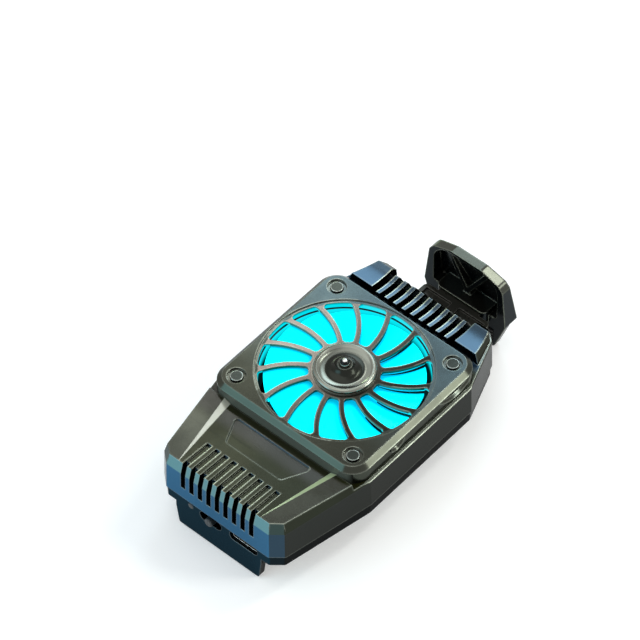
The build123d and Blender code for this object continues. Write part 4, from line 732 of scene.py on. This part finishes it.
def addCoil(shape, s, start, length, coil):
    # one tube along +X from start, wound wide open between closed turns at its two ends
    closedPitch = s["wire"] * s["closedPitch"]
    closed = s["closedTurns"] * closedPitch
    openPitch = (length - 2 * closed) / s["turns"]
    allTurns = s["turns"] + 2 * s["closedTurns"]
    count = int(allTurns * s["steps"])
    rings = []
    for i in range(count + 1):
        turn = allTurns * i / count
        if turn < s["closedTurns"]:
            along, pitch = turn * closedPitch, closedPitch
        elif turn > allTurns - s["closedTurns"]:
            along, pitch = length - (allTurns - turn) * closedPitch, closedPitch
        else:
            along, pitch = closed + (turn - s["closedTurns"]) * openPitch, openPitch
        angle = 2 * pi * turn
        outward = Vector((0, cos(angle), sin(angle)))
        onward = Vector((pitch / (2 * pi), -coil * sin(angle), coil * cos(angle))).normalized()
        across = onward.cross(outward)
        centre = Vector((start[0] + along, start[1], start[2])) + outward * coil
        rings.append([shape.verts.new(centre + (outward * cos(b) + across * sin(b)) * s["wire"] / 2)
                      for b in (2 * pi * j / s["sides"] for j in range(s["sides"]))])
    for ring, following in zip(rings, rings[1:]):
        for j in range(s["sides"]):
            k = (j + 1) % s["sides"]
            shape.faces.new((ring[j], ring[k], following[k], following[j])).smooth = True
    shape.faces.new(rings[0][::-1])
    shape.faces.new(rings[-1])


def addClampSprings(s):
    low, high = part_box("clamp_springs")
    outer = (high[2] - low[2]) / 2
    centreZ = (low[2] + high[2]) / 2
    shape = bmesh.new()
    for side in (1, -1):
        start = (low[0] + s["wire"] / 2, side * (high[1] - outer), centreZ)
        addCoil(shape, s, start, high[0] - low[0] - s["wire"], outer - s["wire"] / 2)
    springs = addPiece("clampSprings", shape, "springWire")
    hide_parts("clamp_springs")
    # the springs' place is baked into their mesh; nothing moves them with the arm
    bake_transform(springs)


addClampSprings(clampSprings)
print("springs wound")


# light and floor
studio = {
    "floorSize": 12.0, "floorColour": (0.80, 0.80, 0.80), "floorRoughness": 0.9, "floorGloss": 0.1,
    "floorShown": 0.30,
    "lamps": [
        # name, place, aimed at, width, height, power, colour
        ("overhead", (-0.35, 0.45, 1.50), (0.0, 0.0, 0.0), 1.6, 1.6, 8.0, (1.0, 1.0, 1.0)),
        ("right", (0.62, -0.95, 0.68), (0.0, 0.0, 0.01), 0.34, 0.80, 6.8, (0.97, 1.0, 0.94)),
        ("left", (-0.95, 0.52, 0.60), (0.0, 0.0, 0.01), 0.8, 0.5, 3.4, (0.34, 0.80, 1.0)),
        ("far", (0.27, 0.13, 0.20), (0.02, 0.0, 0.015), 0.12, 0.20, 0.32, (0.72, 0.90, 1.0)),
        ("backLow", (0.72, 0.98, 0.115), (-0.03, -0.012, 0.013), 0.5, 0.14, 1.7, (0.76, 1.0, 0.66)),
        ("leftNear", (0.135, 0.140, 0.231), (-0.03, 0.014, 0.014), 0.035, 0.035, 0.012, (1.0, 1.0, 0.94)),
        ("topRight", (0.56, -0.19, 0.80), (-0.03, 0.012, 0.014), 0.12, 0.32, 1.7, (0.97, 1.0, 0.94)),
    ],
    "worldLight": 0.45,
    "white": (1.0, 1.0, 1.0, 1.0),
}


def placeLamp(name, spot, aim, width, height, power, colour):
    data = bpy.data.lights.new(name, "AREA")
    data.shape = "RECTANGLE"
    data.size = width
    data.size_y = height
    data.energy = power
    data.color = colour
    lamp = bpy.data.objects.new(name, data)
    lamp.location = spot
    lamp.rotation_euler = (Vector(spot) - Vector(aim)).to_track_quat("Z", "Y").to_euler()
    lamp.visible_camera = False
    bpy.context.scene.collection.objects.link(lamp)


def seenDirectly(tree):
    # 1 for what the camera, reflections and clear parts see, 0 for the light that falls on things
    rays = tree.nodes.new("ShaderNodeLightPath").outputs
    clear = math(tree, "MAXIMUM", rays["Is Glossy Ray"], rays["Is Transmission Ray"])
    return math(tree, "MAXIMUM", rays["Is Camera Ray"], clear)


def makeWorld(s):
    world = bpy.data.worlds.new("studio")
    world.use_nodes = True
    tree = world.node_tree
    background = tree.nodes["Background"]
    background.inputs["Color"].default_value = s["white"]
    strength = remap(tree, seenDirectly(tree), (0.0, 1.0), (s["worldLight"], 1.0))
    link(tree, strength, background.inputs["Strength"])
    bpy.context.scene.world = world


def makeFloor(s):
    half = s["floorSize"] / 2
    level = cadLow[2]
    mesh = bpy.data.meshes.new("floor")
    corners = [(-half, -half, level), (half, -half, level), (half, half, level), (-half, half, level)]
    mesh.from_pydata(corners, [], [(0, 1, 2, 3)])
    floor = bpy.data.objects.new("floor", mesh)
    material, tree, shader = newMaterial("paleFloor")
    shader.inputs["Base Color"].default_value = s["floorColour"] + (1.0,)
    shader.inputs["Roughness"].default_value = s["floorRoughness"]
    shader.inputs["Specular IOR Level"].default_value = s["floorGloss"]
    # the floor shows white where no shadow falls, and so do reflections of it
    shader.inputs["Emission Color"].default_value = s["white"]
    shown = math(tree, "MULTIPLY", seenDirectly(tree), s["floorShown"])
    link(tree, shown, shader.inputs["Emission Strength"])
    mesh.materials.append(material)
    bpy.context.scene.collection.objects.link(floor)


for lamp in studio["lamps"]:
    placeLamp(*lamp)
makeWorld(studio)
makeFloor(studio)
bpy.context.scene.view_settings.view_transform = "Standard"
print("studio built")
